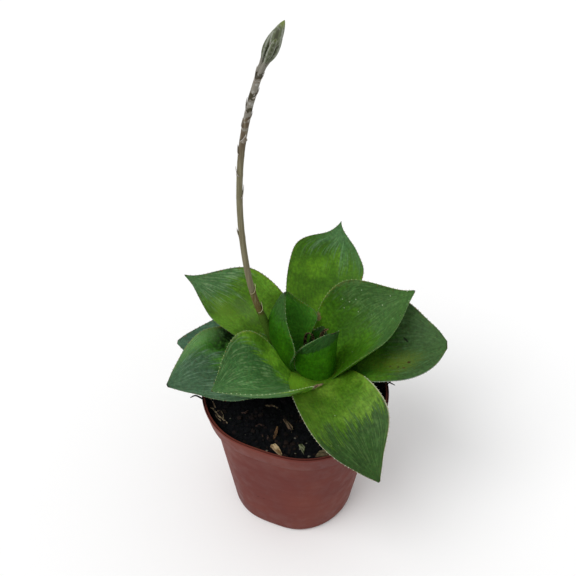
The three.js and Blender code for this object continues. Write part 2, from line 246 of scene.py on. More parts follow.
def new_finish(name, **sockets):
    """An empty finish: its material, its tree and its shader, with the given values on the shader."""
    material = bpy.data.materials.new(name)
    material.use_nodes = True
    tree = material.node_tree
    shader = tree.nodes["Principled BSDF"]
    for key, value in sockets.items():
        shader.inputs[key.replace("_", " ")].default_value = value
    return material, tree, shader


def object_place(tree):
    return node(tree, "TexCoord").outputs["Object"]


def attribute(tree, name):
    return node(tree, "Attribute", attribute_name=name).outputs["Fac"]


def grey_of(tree, level):
    return node(tree, "CombineColor", {0: level, 1: level, 2: level}).outputs[0]


def ramp_grey(tree, value, low, high):
    """A grey that goes from low to high as value goes from 0.3 to 0.7."""
    return grey_of(tree, ramp(tree, value, 0.3, 0.7, low, high))


def spot_mask(tree, first, second, at, size, tilt=0.0, ragged=None, soft=0.2):
    """1 round one place of two values, such as along and across, and 0 outside a soft oval."""
    aside = maths(tree, "SUBTRACT", second, at[1])
    ahead = maths(tree, "MULTIPLY_ADD", aside, -tilt, maths(tree, "SUBTRACT", first, at[0]))
    scaled = node(tree, "CombineXYZ", {
        "X": maths(tree, "DIVIDE", ahead, size[0]), "Y": maths(tree, "DIVIDE", aside, size[1])}).outputs[0]
    away = node(tree, "VectorMath", {0: scaled}, operation="LENGTH").outputs["Value"]
    if ragged is not None:
        away = maths(tree, "MULTIPLY_ADD", maths(tree, "SUBTRACT", ragged, 0.5), RAGGEDNESS, away)
    return ramp(tree, away, 1 + soft, 1 - soft)


def cover(tree, shader, shade, relief, strength, distance):
    """Gives the shader its colour and a fine relief; distance is in metres."""
    tree.links.new(shade, shader.inputs["Base Color"])
    tree.links.new(bump(tree, relief, strength, distance), shader.inputs["Normal"])


print("the helpers for finishes are ready")


# %% [markdown]
# ## Light and floor
# The plant stands in even daylight from all round, with a soft stronger light from the upper left. A
# sun lamp with a wide disc lights the whole floor alike, so the floor stays almost white everywhere.

# %% Light and floor
WORLD_STRENGTH = 0.72
KEY_LIGHT = {"aim_from": (-0.55, -0.40, 0.90), "disc": 40, "strength": 1.55}


def make_world():
    world = bpy.data.worlds.new("daylight")
    world.use_nodes = True
    background = world.node_tree.nodes["Background"]
    background.inputs["Color"].default_value = (1, 1, 1, 1)
    background.inputs["Strength"].default_value = WORLD_STRENGTH
    bpy.context.scene.world = world
    bpy.context.scene.view_settings.view_transform = "Standard"


def make_key_light(aim_from, disc, strength):
    light = bpy.data.lights.new("key_light", "SUN")
    light.energy = strength
    light.angle = math.radians(disc)
    lamp = bpy.data.objects.new("key_light", light)
    lamp.location = aim_from
    lamp.rotation_euler = (-lamp.location).to_track_quat("-Z", "Y").to_euler()
    bpy.context.scene.collection.objects.link(lamp)


def make_floor():
    clear_selection()
    bpy.ops.mesh.primitive_plane_add(size=4)
    floor = new_piece("floor")
    material, tree, shader = new_finish("pale_floor", Roughness=0.9)
    tint = grain(tree, object_place(tree), 3.0)
    tree.links.new(mix(tree, tint, colour("f4f4f4"), colour("fafafa")), shader.inputs["Base Color"])
    floor.data.materials.append(material)


make_world()
make_key_light(**KEY_LIGHT)
make_floor()
print("daylight", WORLD_STRENGTH, "and key light", KEY_LIGHT["strength"])

# %% [markdown]
# ## How a leaf is shaped
# A leaf has a midrib that rises, curls and sweeps sideways as it runs out. Across it the blade is a
# shallow channel, thin at the margins and thick below the midrib, and its outline is broad, then
# drawn out to a point. No chain of extrusions follows such a surface closely, so a sphere with many
# rings is added and its points are carried over: each ring becomes one cross-section, one pole the
# foot of the leaf and the other its tip.

# %% The leaves' sizes
# base is where the midrib starts, in millimetres. Angles are in degrees: azimuth from +X, rise above
# the horizon, curl added to it along the blade, sweep added to the azimuth, roll about the midrib.
# length, width and thick are millimetres. trough is how deeply the blade is channelled, widest the share
# of the length where it is broadest, point how drawn-out its tip is, and foot its width at the foot
# over the greatest width.
# nib draws the very tip out and sway puts the part below the tip to one side, both in millimetres.
# narrow is the share by which the left half of the blade is drawn in towards the tip, and tuck the share
# by which the right half is drawn in where the next leaf covers it.
LEAVES = {
    "leaf_low_back_left": dict(
        base=(2, 8, 54.5), azimuth=124, rise=10, curl=-8, sweep=0, roll=0,
        length=31, width=20, trough=0.3, thick=3.2, widest=0.58, point=0.3),
    "leaf_low_back_right": dict(
        base=(10, 8, 54.5), azimuth=52, rise=10, curl=-8, sweep=-4, roll=0,
        length=34, width=21, trough=0.3, thick=3.2, widest=0.58, point=0.3),
    "leaf_far_left": dict(
        base=(3, 4.5, 56), azimuth=171.5, rise=18.5, curl=-13, sweep=7, roll=-4,
        length=44.8, width=25.2, trough=0.37, thick=4, widest=0.58, point=0.25, nib=0.8),
    "leaf_left": dict(
        base=(3.6, 2.1, 55.6), azimuth=187, rise=23, curl=-14, sweep=29.5, roll=-11.5,
        length=49.2, width=31, trough=0.38, thick=4, widest=0.58, point=0.55, nib=0.9),
    "leaf_right": dict(
        base=(9, 3.8, 57.5), azimuth=-2.5, rise=36.5, curl=-26.5, sweep=-6, roll=19.5,
        length=43.4, width=32.5, trough=0.48, thick=4, widest=0.58, point=-0.3,
        nib=1.2, narrow=0.24, tuck=0.06),
    "leaf_front_right": dict(
        base=(6.2, 1.1, 58.5), azimuth=-84, rise=34.5, curl=-74, sweep=38, roll=-2.5,
        length=49.6, width=26.5, trough=0.5, thick=4, widest=0.58, point=0.7, nib=0.5),
    "leaf_back_left": dict(
        base=(2.3, 8.9, 55.4), azimuth=156, rise=37, curl=-6.5, sweep=12.5, roll=-8,
        length=51.7, width=29.3, trough=0.47, thick=4, widest=0.58, point=1.1),
    "leaf_back": dict(
        base=(4.9, 9, 59), azimuth=86.5, rise=34, curl=1.5, sweep=-23, roll=29.5,
        length=52, width=27.2, trough=0.29, thick=4, widest=0.64, point=1.2, sway=-1.5),
    "leaf_front_left": dict(
        base=(2.6, -2.8, 56.3), azimuth=222, rise=42.9, curl=-16, sweep=6, roll=-11.5,
        length=45.3, width=27.6, trough=0.73, thick=4, widest=0.55, point=0.83, foot=0.25,
        nib=0.7),
    "leaf_back_right": dict(
        base=(7.9, 3, 56.6), azimuth=15.5, rise=45.5, curl=2.5, sweep=-7.5, roll=18,
        length=44.7, width=29, trough=0.8, thick=4, widest=0.58, point=1),
    "leaf_inner_left": dict(
        base=(1.3, 3.2, 59.5), azimuth=152, rise=35, curl=89, sweep=35, roll=-18,
        length=34, width=19.5, trough=1.2, thick=3, widest=0.58, point=-0.2),
    "leaf_inner_front": dict(
        base=(8.8, -3.5, 57), azimuth=-59.2, rise=98, curl=-32, sweep=25, roll=-20.8,
        length=27.5, width=15.6, trough=0.63, thick=4.2, widest=0.35, point=-0.38, foot=0.25),
    "leaf_heart": dict(
        base=(7, 6, 57), azimuth=50, rise=66, curl=25, sweep=0, roll=0,
        length=17, width=10, trough=0.7, thick=2.4, widest=0.58, point=0.3),
}
print("there are", len(LEAVES), "leaves")

# %% [markdown]
# The outline of a blade opens like a sine curve from its foot to its broadest place. Beyond that it is a
# mixture of a rounded end and a drawn-out one. The midrib is walked along in many short steps.

# %% The leaf's outline and midrib
RIB_STEPS = 240
# What all the leaves share. ease, round and drawn bend the outline, taper thins the blade towards its
# tip, crest raises the middle of the upper face, belly rounds the underside, and foot_roll is the
# share of the roll that the foot has.
BLADE = dict(
    foot=0.5, ease=1.2, round=2.2, drawn=1.25, drawn_least=0.33, drawn_more=0.52,
    taper=0.55, crest=0.06, belly=1.3, foot_roll=0.35)
# Where along the blade the changes lie that single leaves have.
NIB = dict(start=0.9, length=0.1, thinner=0.72)
NARROW = dict(start=0.72, length=0.22)
TUCK = dict(at=0.4, reach=0.07)
SWAY = dict(at=0.87, reach=0.07)


def lerp(first, second, share):
    return first + (second - first) * share


def blade_share(along, widest, point, foot=BLADE["foot"]):
    """Half width over the greatest half width."""
    if along <= widest:
        return lerp(foot, 1, math.sin(math.pi / 2 * along / widest) ** BLADE["ease"])
    beyond = (along - widest) / (1 - widest)
    rounded = math.sqrt(max(0, 1 - beyond ** BLADE["round"]))
    drawn = 0.5 * (1 + math.cos(math.pi * beyond ** BLADE["drawn"]))
    return lerp(rounded, drawn, BLADE["drawn_least"] + BLADE["drawn_more"] * point)


def heading(leaf, along):
    rise = math.radians(leaf["rise"] + leaf["curl"] * along)
    turn = math.radians(leaf["azimuth"] + leaf["sweep"] * along)
    return Vector((math.cos(rise) * math.cos(turn), math.cos(rise) * math.sin(turn), math.sin(rise)))


def midrib(leaf):
    """Points along the midrib, in millimetres."""
    points = [Vector(leaf["base"])]
    stride = leaf["length"] / RIB_STEPS
    for step in range(RIB_STEPS):
        points.append(points[-1] + heading(leaf, (step + 0.5) / RIB_STEPS) * stride)
    return points


print("a leaf's midrib has", RIB_STEPS, "steps")

# %% [markdown]
# With the midrib and the outline given, a point of the skin needs only two numbers: how far along the
# blade it lies, and how far round the cross-section there. The changes that single leaves have come last.

# %% A point of the leaf's skin


def cross_section(leaf, rib, along):
    """The midrib's point, and the directions along, across and up from the blade there."""
    place = min(along, 0.99999) * RIB_STEPS
    step = int(place)
    point = rib[step].lerp(rib[step + 1], place - step)
    ahead = heading(leaf, along)
    turn = math.radians(leaf["azimuth"] + leaf["sweep"] * along)
    level = Vector((-math.sin(turn), math.cos(turn), 0))
    roll = math.radians(leaf["roll"]) * lerp(BLADE["foot_roll"], 1, along)
    side = Matrix.Rotation(roll, 3, ahead) @ level
    return point, ahead, side, ahead.cross(side)


def bell(along, at, reach):
    """1 at one place along the blade, and 0 well away from it."""
    return math.exp(-((along - at) / reach) ** 2)


def leaf_point(leaf, rib, along, around):
    """A point of the leaf's skin: around is 0 and pi at the margins and pi / 2 on the upper face."""
    point, ahead, side, face = cross_section(leaf, rib, along)
    across, above = math.cos(around), math.sin(around)
    outline = {key: leaf[key] for key in ("widest", "point", "foot") if key in leaf}
    half = leaf["width"] / 2 * blade_share(along, **outline)
    trough = leaf["trough"] * math.sin(math.pi * lerp(0.15, 0.9, along))
    swell = 0.75 + 0.25 * math.sin(math.pi * along)
    thick = min(leaf["thick"] * (1 - along) ** BLADE["taper"] * swell, 0.9 * half)
    skin = BLADE["crest"] * half * above ** 2 if above > 0 else -thick * abs(above) ** BLADE["belly"]
    end = max(0.0, along - NIB["start"]) / NIB["length"]
    half *= 1 - NIB["thinner"] * end ** 3 if "nib" in leaf else 1
    far = max(0.0, min(1.0, (along - NARROW["start"]) / NARROW["length"]))
    half *= 1 - leaf.get("narrow", 0) * far ** 2 * (3 - 2 * far) * (1 + across) / 2
    half *= 1 - leaf.get("tuck", 0) * bell(along, **TUCK) * (1 - across) / 2
    point = point + ahead * leaf.get("nib", 0) * end ** 2
    point += side * leaf.get("sway", 0) * bell(along, **SWAY)
    return point + side * half * across + face * (trough * half * across ** 2 + skin)


print("the broadest leaf is", max(leaf["width"] for leaf in LEAVES.values()), "mm across")

# %% [markdown]
# ## The leaf's finish
# The colour follows the blade, so it reads three values stored on the mesh: `along`, from foot to tip,
# `across`, from one margin to the other, and `face`, which is above zero on the upper face only. The
# lower part is a fresh yellow green. Towards the tip it turns to a dull bluish green in long feathers,
# with fine pale lines between them. The margins are a thin pale line, and the tip is a dry brown point.
# Scratches, dry spots, paler and darker patches are soft ovals, each at its own place on the blade, and so
# are one painted shadow and one painted pool of light.

# %% The leaf's finish
# young and fresh mottle the lower part, old is the colour beyond start, and pale that of the lines.
# lean and bow slant and curve the edge between the two, feather frays it and width softens it. edge and
# edge_from say how far out and from where along the blade the margin shows, inner is painted
# light on the upper face above 1 and painted shade below 1, inner_old ages the upper face, and
# painted_foot_light is painted light at the foot above 1 and painted shade below 1. tooth is the colour of
# the teeth on the left side, and margin that of the others and of the margins. specks are pale dots.
LEAF_LOOK = dict(
    young="47701a", fresh="5b8a24", old="33562a", pale="6f8f5c", margin="66805a", tooth="7c8f68",
    tip="2b2a22", start=0.55, lean=0.0, bow=0.0, feather=0.16, width=0.05, lines=0.36, specks=0.0,
    edge=0.982, edge_from=0.1, inner=1.0, inner_old=0.0, painted_foot_light=1.15, marks=())


def leaf_finish(name, seed, **changes):
    look = {**LEAF_LOOK, **changes}
    material, tree, shader = new_finish(
        "skin_of_" + name, Roughness=0.5, Specular_IOR_Level=0.14,
        Subsurface_Weight=0.1, Subsurface_Scale=0.0015)
    along, across = attribute(tree, "along"), attribute(tree, "across")
    face, side = attribute(tree, "face"), maths(tree, "ABSOLUTE", across)
    place = object_place(tree)

    def strands(count, stretch, detail=2.0):
        """Grain drawn out along the blade, with about count strands from margin to margin."""
        vector = node(tree, "CombineXYZ", {
            "X": maths(tree, "MULTIPLY", across, count / 2), "Y": maths(tree, "MULTIPLY", along, stretch),
            "Z": seed + count}).outputs[0]
        return grain(tree, vector, 1.0, detail)

    wide, fine, hair = strands(14, 2.5), strands(54, 9.0, 3.0), strands(90, 16.0, 1.0)
    cloud, mottle = grain(tree, place, 110.0, 3.0), grain(tree, place, 1000.0, 2.0)
    ragged = maths(tree, "ADD", maths(tree, "MULTIPLY", wide, 0.9), maths(tree, "MULTIPLY", fine, 1.1))
    ragged = maths(tree, "MULTIPLY_ADD", maths(tree, "SUBTRACT", ragged, 1.0), look["feather"] * 2, along)
    edge = maths(tree, "MULTIPLY_ADD", across, look["lean"], ragged)
    edge = maths(tree, "MULTIPLY_ADD", maths(tree, "MULTIPLY", across, across), look["bow"], edge)
    old = ramp(tree, edge, look["start"] - look["width"], look["start"] + look["width"])
    if look["inner_old"]:
        old = maths(tree, "MAXIMUM", old, ramp(tree, face, -0.1, 0.1, 0.0, look["inner_old"]))
    shade = mix(tree, ramp(tree, cloud, 0.35, 0.68), colour(look["young"]), colour(look["fresh"]))
    shade = mix(tree, old, shade, colour(look["old"]))
    lines = maths(tree, "MULTIPLY", ramp(tree, fine, 0.48, 0.66),
                  ramp(tree, edge, look["start"] - 0.15, look["start"] + 0.1))
    lines = maths(tree, "MULTIPLY", lines, ramp(tree, along, 0.8, 1.0, look["lines"], 0.4 * look["lines"]))
    shade = mix(tree, lines, shade, colour(look["pale"]))
    for grey in (ramp_grey(tree, hair, 0.88, 1.12), ramp_grey(tree, mottle, 0.82, 1.18),
                 ramp_grey(tree, cloud, 0.9, 1.1)):
        shade = mix(tree, 1.0, shade, grey, "MULTIPLY")
    # Painted light at the foot where the factor is above 1, and painted shade where it is below 1.
    painted_foot_light = grey_of(tree, ramp(tree, along, 0.1, 0.45, look["painted_foot_light"], 1.0))
    shade = mix(tree, 1.0, shade, painted_foot_light, "MULTIPLY")
    # Painted light on the upper face where the factor is above 1, and painted shade where it is below 1.
    if look["inner"] != 1.0:
        inner = grey_of(tree, ramp(tree, face, -0.1, 0.1, 1.0, look["inner"]))
        shade = mix(tree, 1.0, shade, inner, "MULTIPLY")
    for mark in look["marks"]:
        shape = spot_mask(tree, along, across, mark["at"], mark["size"], mark.get("tilt", 0.0), mottle,
                          mark.get("soft", 0.2))
        shade = mix(tree, maths(tree, "MULTIPLY", shape, mark["depth"]), shade, colour(mark["tint"]))
    rim = maths(tree, "MULTIPLY", ramp(tree, side, look["edge"], look["edge"] + 0.014),
                ramp(tree, along, look["edge_from"], look["edge_from"] + 0.08, 0.0, 0.7))
    shade = mix(tree, rim, shade, colour(look["margin"]))
    shade = mix(tree, ramp(tree, side, 1.1, 1.3), shade, colour(look["margin"]))
    shade = mix(tree, ramp(tree, across, 1.1, 1.3), shade, colour(look["tooth"]))
    shade = mix(tree, ramp(tree, along, 0.984, 0.995), shade, colour(look["tip"]))
    if look["specks"]:
        dots = node(tree, "TexVoronoi", {"Vector": place, "Scale": 430.0}).outputs["Distance"]
        spread = maths(tree, "MULTIPLY", ramp(tree, grain(tree, place, 60.0), 0.44, 0.56), look["specks"])
        dots = maths(tree, "MULTIPLY", ramp(tree, dots, 0.11, 0.06), spread)
        shade = mix(tree, dots, shade, colour("a9b896"))
    tree.links.new(ramp(tree, fine, 0.3, 0.7, 0.42, 0.6), shader.inputs["Roughness"])
    relief = maths(tree, "MULTIPLY_ADD", fine, old, maths(tree, "MULTIPLY", mottle, 0.9))
    cover(tree, shader, shade, relief, 0.5, 0.0004)
    return material


print("a leaf's look has", len(LEAF_LOOK), "values")

# %% [markdown]
# No two leaves have quite the same colours. Each look here gives what differs from the plain one
# above, with the marks of that leaf: where each lies along and across the blade, and how large it is.

# %% The looks of the leaves
LOOKS = {
    "leaf_low_back_left": dict(start=0.45),
    "leaf_low_back_right": dict(start=0.45),
    "leaf_far_left": dict(start=0.3, old="43634a", pale="6c8a74", lines=0.25, margin="2f3a33", edge=0.975),
    "leaf_left": dict(
        start=0.61, lean=0.15, width=0.08, young="2f5f18", fresh="55863a", old="405f42", pale="7c9a7e",
        painted_foot_light=1.0, lines=0.42, marks=(
            # A painted shadow: a near-black oval by the margin, where this leaf lies in shadow.
            dict(at=(0.54, -0.88), size=(0.085, 0.32), soft=0.7, tint="021401", depth=1.0),
            dict(at=(0.74, -0.92), size=(0.14, 0.18), soft=0.8, tint="6f9c5c", depth=0.7))),
    "leaf_right": dict(
        start=0.6, width=0.1, young="2c5a12", fresh="47701a", old="38562a", pale="64835a", lines=0.2,
        margin="8a968c", edge=0.968, edge_from=0.44, painted_foot_light=1.0, marks=(
            dict(at=(0.64, -0.42), size=(0.14, 0.22), soft=0.9, tint="6c8224", depth=0.5),
            dict(at=(0.715, 0.13), size=(0.007, 0.085), tilt=-0.2, tint="141c0c", depth=0.95),
            dict(at=(0.73, -0.454), size=(0.013, 0.03), tint="3a200c", depth=0.9),
            dict(at=(0.69, -0.588), size=(0.01, 0.025), tint="4a3c1c", depth=0.7),
            dict(at=(0.65, -0.545), size=(0.01, 0.03), tint="3c3a18", depth=0.7),
            dict(at=(0.59, -0.5), size=(0.01, 0.02), tint="4a3c1c", depth=0.6))),
    "leaf_front_right": dict(
        start=0.64, lean=0.035, width=0.045, young="466e12", fresh="608226", old="2b4a1a", pale="587640",
        margin="a8ac94", tooth="a9a78c", edge=0.974, edge_from=0.36, specks=0.35, lines=0.45,
        painted_foot_light=0.9, marks=(
            # Painted light: a bright yellow-green oval near the foot, lightening a place that the leaves
            # above shade.
            dict(at=(0.2, -0.85), size=(0.12, 0.4), soft=0.7, tint="74a828", depth=0.95),)),
    "leaf_back_left": dict(
        start=0.71, lean=-0.08, bow=-0.08, width=0.07, young="47700f", fresh="5a8720", old="42693a",
        pale="87a474", margin="4d4a4a", tooth="5e6650", edge=0.985, lines=0.52, marks=(
            dict(at=(0.53, -0.1), size=(0.09, 0.2), soft=0.8, tint="55703a", depth=0.5),
            dict(at=(0.66, 0.3), size=(0.1, 0.25), soft=0.9, tint="6c922a", depth=0.5))),
    "leaf_back": dict(
        start=0.77, lean=-0.06, width=0.08, lines=0.3, young="3a640a", fresh="507c12", old="426a3a",
        pale="7d9c70", margin="4d4a4a", tooth="5e6650", edge=0.985, painted_foot_light=0.85, marks=(
            dict(at=(0.66, -0.85), size=(0.18, 0.4), soft=0.9, tint="375f12", depth=0.6),)),
    "leaf_front_left": dict(
        start=0.23, bow=-0.45, width=0.07, young="4c7a1c", fresh="6a9a2a", old="44703a", pale="86a66e",
        margin="7d9a62", tooth="b4c496", painted_foot_light=2.2, lines=0.46),
    "leaf_back_right": dict(
        start=0.55, width=0.09, specks=0.7, young="3b6a0c", fresh="467414", old="3b5f2a", pale="66864c",
        margin="6f8a52", tooth="86a060", edge=0.985, painted_foot_light=1.6, marks=(
            dict(at=(0.47, 0.35), size=(0.14, 0.45), soft=0.9, tint="2c500c", depth=0.65),
            dict(at=(0.305, 0.96), size=(0.03, 0.05), tint="94835c", depth=0.8))),
    "leaf_inner_left": dict(
        start=0.83, width=0.06, feather=0.1, young="285a06", fresh="336808", old="2a5218", pale="4c7640",
        margin="5c7c4c", edge=0.982, inner=2.2, inner_old=0.6, painted_foot_light=1.0),
    "leaf_inner_front": dict(
        start=0.86, lean=-0.12, bow=0.2, feather=0.05, width=0.02, young="2f6608", fresh="3a7408",
        old="264c1c", pale="45703a", margin="6f8f60", edge=0.98, inner=0.72, painted_foot_light=1.0),
    "leaf_heart": dict(young="1c4a10", fresh="28600f", start=0.85),
}
print("marks on the leaves:", sum(len(look.get("marks", ())) for look in LOOKS.values()))

# %% [markdown]
# ## Making the leaves
# Each leaf is a sphere of its own, carried over to the formula. The three values for its finish are
# written on its points on the way. A low ripple keeps the skin from looking machined.

# %% Making the leaves
LEAF_SEGMENTS = 64
LEAF_RINGS = 84
# Below 1, the rings lie closer together towards the tip.
RING_SPACING = 0.85
RIPPLE = dict(scale=0.16, height=0.35)


def rippled(spot, face, along, seed):
    """Moves a point of the skin up or down a little, more so towards the tip."""
    ripple = noise.noise(spot * RIPPLE["scale"] + Vector((seed, 0, 0)))
    return spot + face * ripple * RIPPLE["height"] * along


def make_leaf(name, leaf, seed):
    clear_selection()
    bpy.ops.mesh.primitive_uv_sphere_add(segments=LEAF_SEGMENTS, ring_count=LEAF_RINGS)
    piece = new_piece(name + "_skin")
    rib = midrib(leaf)
    values = {"along": [], "across": [], "face": []}
    for point in piece.data.vertices:
        ring = round((1 - math.acos(max(-1, min(1, point.co.z))) / math.pi) * LEAF_RINGS)
        along = min(1.0, max(0, ring - 1) / (LEAF_RINGS - 1)) ** RING_SPACING
        around = math.atan2(point.co.y, point.co.x)
        if ring == 0:
            place = Vector(leaf["base"])
        elif ring == LEAF_RINGS:
            place = rib[-1]
        else:
            place = leaf_point(leaf, rib, along, around)
            place = rippled(place, cross_section(leaf, rib, along)[3], along, seed)
        point.co = place * MM
        for label, value in (("along", along), ("across", math.cos(around)), ("face", math.sin(around))):
            values[label].append(value)
    for label, numbers in values.items():
        store(piece, label, numbers)
    outwards(piece)
    bpy.ops.object.shade_smooth()
    return piece


print("each leaf starts as a sphere of", LEAF_SEGMENTS, "by", LEAF_RINGS)

# %% [markdown]
# The margins of the leaves are rough to the touch: a row of tiny teeth, a little more than a
# millimetre apart, runs along each. One tooth is a cone of four sides, and its copies follow the
# margins and lean towards the tip. They are joined to the leaf, so that they share its finish.

# %% The teeth along the margins
# Sizes in millimetres; first, last and step are shares of the blade's length.
TOOTH = dict(pitch=1.3, width=0.17, height=0.42, lift=0.1, first=0.25, last=0.97, step=0.004)
TOOTH_LEAN = dict(ahead=0.6, up=0.3)
# Beyond the margin, which is at 1, so that the finish can tell a tooth from the skin.
TOOTH_ACROSS = 1.4


def tooth_model():
    clear_selection()
    bpy.ops.mesh.primitive_cone_add(
        vertices=4, radius1=TOOTH["width"] * MM, depth=TOOTH["height"] * MM,
        location=(0, 0, TOOTH["lift"] * MM))
    return keep_mesh_only(new_piece("tooth"))


def add_teeth(piece, name, leaf, seed, model):
    rib, chance, placings = midrib(leaf), random.Random(seed), []
    first = max(TOOTH["first"], LOOKS[name].get("edge_from", 0))
    for around in (0.0, math.pi):
        along, last = first, leaf_point(leaf, rib, first, around)
        while along < TOOTH["last"]:
            along += TOOTH["step"]
            spot = leaf_point(leaf, rib, along, around)
            if (spot - last).length < TOOTH["pitch"] * chance.uniform(0.8, 1.2):
                continue
            last = spot
            _, ahead, side, face = cross_section(leaf, rib, along)
            out = side * math.cos(around) + ahead * TOOTH_LEAN["ahead"] + face * TOOTH_LEAN["up"]
            out = out.to_track_quat("Z", "Y")
            place = Matrix.Translation(rippled(spot, face, along, seed) * MM)
            size = Matrix.Scale(chance.uniform(0.7, 1.2), 4)
            marks = {"along": along, "across": TOOTH_ACROSS * math.cos(around), "face": 0.0}
            placings.append((model, place @ out.to_matrix().to_4x4() @ size, marks))
    teeth = gather(name + "_teeth", placings)
    clear_selection()
    teeth.select_set(True)
    piece.select_set(True)
    bpy.context.view_layer.objects.active = piece
    bpy.ops.object.join()
    return len(placings)


TOOTH_MODEL = tooth_model()
for number, (name, leaf) in enumerate(LEAVES.items()):
    skin = make_leaf(name, leaf, number + 1)
    teeth = add_teeth(skin, name, leaf, number + 1, TOOTH_MODEL)
    print(name, "has", teeth, "teeth")
    finish_piece(skin, leaf_finish(name, (number + 1) * 7.3, **LOOKS[name]), "leaf", name)

# %% [markdown]
# ## The pot
# An injection-moulded nursery pot: one thin wall with a collar below the rim. It is drawn up from the
# disc of its underside, as on a potter's wheel: the disc is extruded and scaled ring by ring, up the
# outside, over the lip and down the inside to the floor.

# %% The pot's shape
POT = dict(
    height=54, rim=32, collar_height=7.1, collar=30.7, body=28.9, foot=22.7, wall=1.1, floor=1.6)
DENT = dict(angle=-110.5, share=0.058, spread=21.7)
DRAIN = dict(count=5, radius=2.6, ring=14.5, first=-54)
COLLAR_Z = POT["height"] - POT["collar_height"]
GROOVE_Z = POT["height"] - 0.4


def pot_radius(z):
    """Outer radius of the body, below the collar."""
    return lerp(POT["foot"], POT["body"], z / COLLAR_Z)


def pressed(point):
    """The pot is pressed in on one side, a little left of the front."""
    away = (math.degrees(math.atan2(point.y, point.x)) - DENT["angle"] + 540) % 360 - 180
    share = 1 - DENT["share"] * math.exp(-(away / DENT["spread"]) ** 2)
    return Vector((point.x * share, point.y * share, point.z))


POT_PROFILE = [
    (POT["foot"] - 0.35, 0.35), (pot_radius(1.2), 1.2), (pot_radius(12), 12), (pot_radius(24), 24),
    (pot_radius(36), 36), (pot_radius(COLLAR_Z - 0.5), COLLAR_Z - 0.5), (POT["body"] + 0.1, COLLAR_Z - 0.1),
    (POT["collar"] - 0.3, COLLAR_Z + 0.1), (POT["collar"], COLLAR_Z + 0.5),
    (POT["rim"] - 0.15, POT["height"] - 1.1), (POT["rim"], POT["height"] - 0.7),
    (POT["rim"], POT["height"] - 0.25), (POT["rim"] - 0.05, POT["height"] - 0.06),
    (POT["rim"] - 0.16, POT["height"]), (POT["rim"] - 0.2, GROOVE_Z), (POT["rim"] - 0.46, GROOVE_Z),
    (POT["rim"] - 0.5, POT["height"]), (POT["rim"] - 0.95, POT["height"] - 0.04),
    (POT["rim"] - 1.07, POT["height"] - 0.2),
    (POT["rim"] - 1.15, POT["height"] - 1.2), (POT["collar"] - POT["wall"], COLLAR_Z + POT["wall"]),
    (POT["body"] - POT["wall"], COLLAR_Z + POT["wall"]), (pot_radius(24) - POT["wall"], 24),
    (pot_radius(POT["floor"]) - POT["wall"], POT["floor"]),
]


def draw_up(profile):
    """Extrudes the selected disc ring by ring through (radius, height) pairs, in millimetres."""
    radius, height = profile[0]
    for next_radius, next_height in profile[1:]:
        rise = (0, 0, (next_height - height) * MM)
        bpy.ops.mesh.extrude_region_move(TRANSFORM_OT_translate={"value": rise})
        bpy.ops.transform.resize(value=(next_radius / radius, next_radius / radius, 1))
        radius, height = next_radius, next_height


print("the pot's profile has", len(POT_PROFILE), "rings")

# %% [markdown]
# The drain holes are cut by cylinders that are taken away from the floor. Two values are stored on the
# points for the finish, both marking painted shade: `lip_groove_shade` in the fine groove of the lip, and
# `inner_wall_shade` on the wall inside it.
# Last, the whole pot is pressed in on one side.

# %% The pot's holes and marks
DISC_GAP = 1.2
DRAIN_SIDES, DRAIN_DEPTH = 24, 8


def drain_holes(pot):
    for i in range(DRAIN["count"]):
        angle = math.radians(DRAIN["first"] + 360 / DRAIN["count"] * i)
        place = Vector((math.cos(angle), math.sin(angle), 0)) * DRAIN["ring"] * MM
        clear_selection()
        bpy.ops.mesh.primitive_cylinder_add(
            vertices=DRAIN_SIDES, radius=DRAIN["radius"] * MM, depth=DRAIN_DEPTH * MM, location=place)
        cutter = new_piece("drain_cutter")
        cut = pot.modifiers.new("drain", "BOOLEAN")
        cut.object = cutter
        cut.operation = "DIFFERENCE"
        bpy.context.view_layer.objects.active = pot
        bpy.ops.object.modifier_apply(modifier=cut.name)
        bpy.data.objects.remove(cutter)


def make_pot(material):
    clear_selection()
    start = POT["foot"] - DISC_GAP
    bpy.ops.mesh.primitive_circle_add(vertices=160, radius=start * MM, fill_type="NGON")
    pot = new_piece("pot_shell")
    edit_mode(True)
    bpy.ops.mesh.select_all(action="SELECT")
    draw_up([(start, 0)] + POT_PROFILE)
    edit_mode(False)
    outwards(pot)
    drain_holes(pot)
    # Points in the lip's fine groove, which the finish darkens as painted shade.
    lip_groove_shade_points = [float(abs(point.co.z - GROOVE_Z * MM) < 0.01 * MM) for point in pot.data.vertices]
    store(pot, "lip_groove_shade", lip_groove_shade_points)
    # Points on the wall inside the lip, which the finish paints nearly black as painted shade.
    inside = (POT["rim"] - POT["wall"]) * MM
    inner_wall_shade_points = [float(point.co.z > (COLLAR_Z + 1) * MM and point.co.xy.length < inside)
              for point in pot.data.vertices]
    store(pot, "inner_wall_shade", inner_wall_shade_points)
    for point in pot.data.vertices:
        point.co = pressed(point.co)
    bpy.context.view_layer.objects.active = pot
    pot.select_set(True)
    bpy.ops.object.shade_smooth_by_angle(angle=math.radians(40))
    return finish_piece(pot, material, "pot", "pot")


print("the pot has", DRAIN["count"], "drain holes")

# %% [markdown]
# The plastic is a dull brick red. It is never one flat colour: it is a little lighter where it has
# been handled, dusty in patches, and marked by faint lines round it from the mould. The groove of the lip
# and the wall inside it are darkened as painted shade, and a few dark marks by the foot and on the side
# and two patches of painted shade on the lip are given by angle and height.

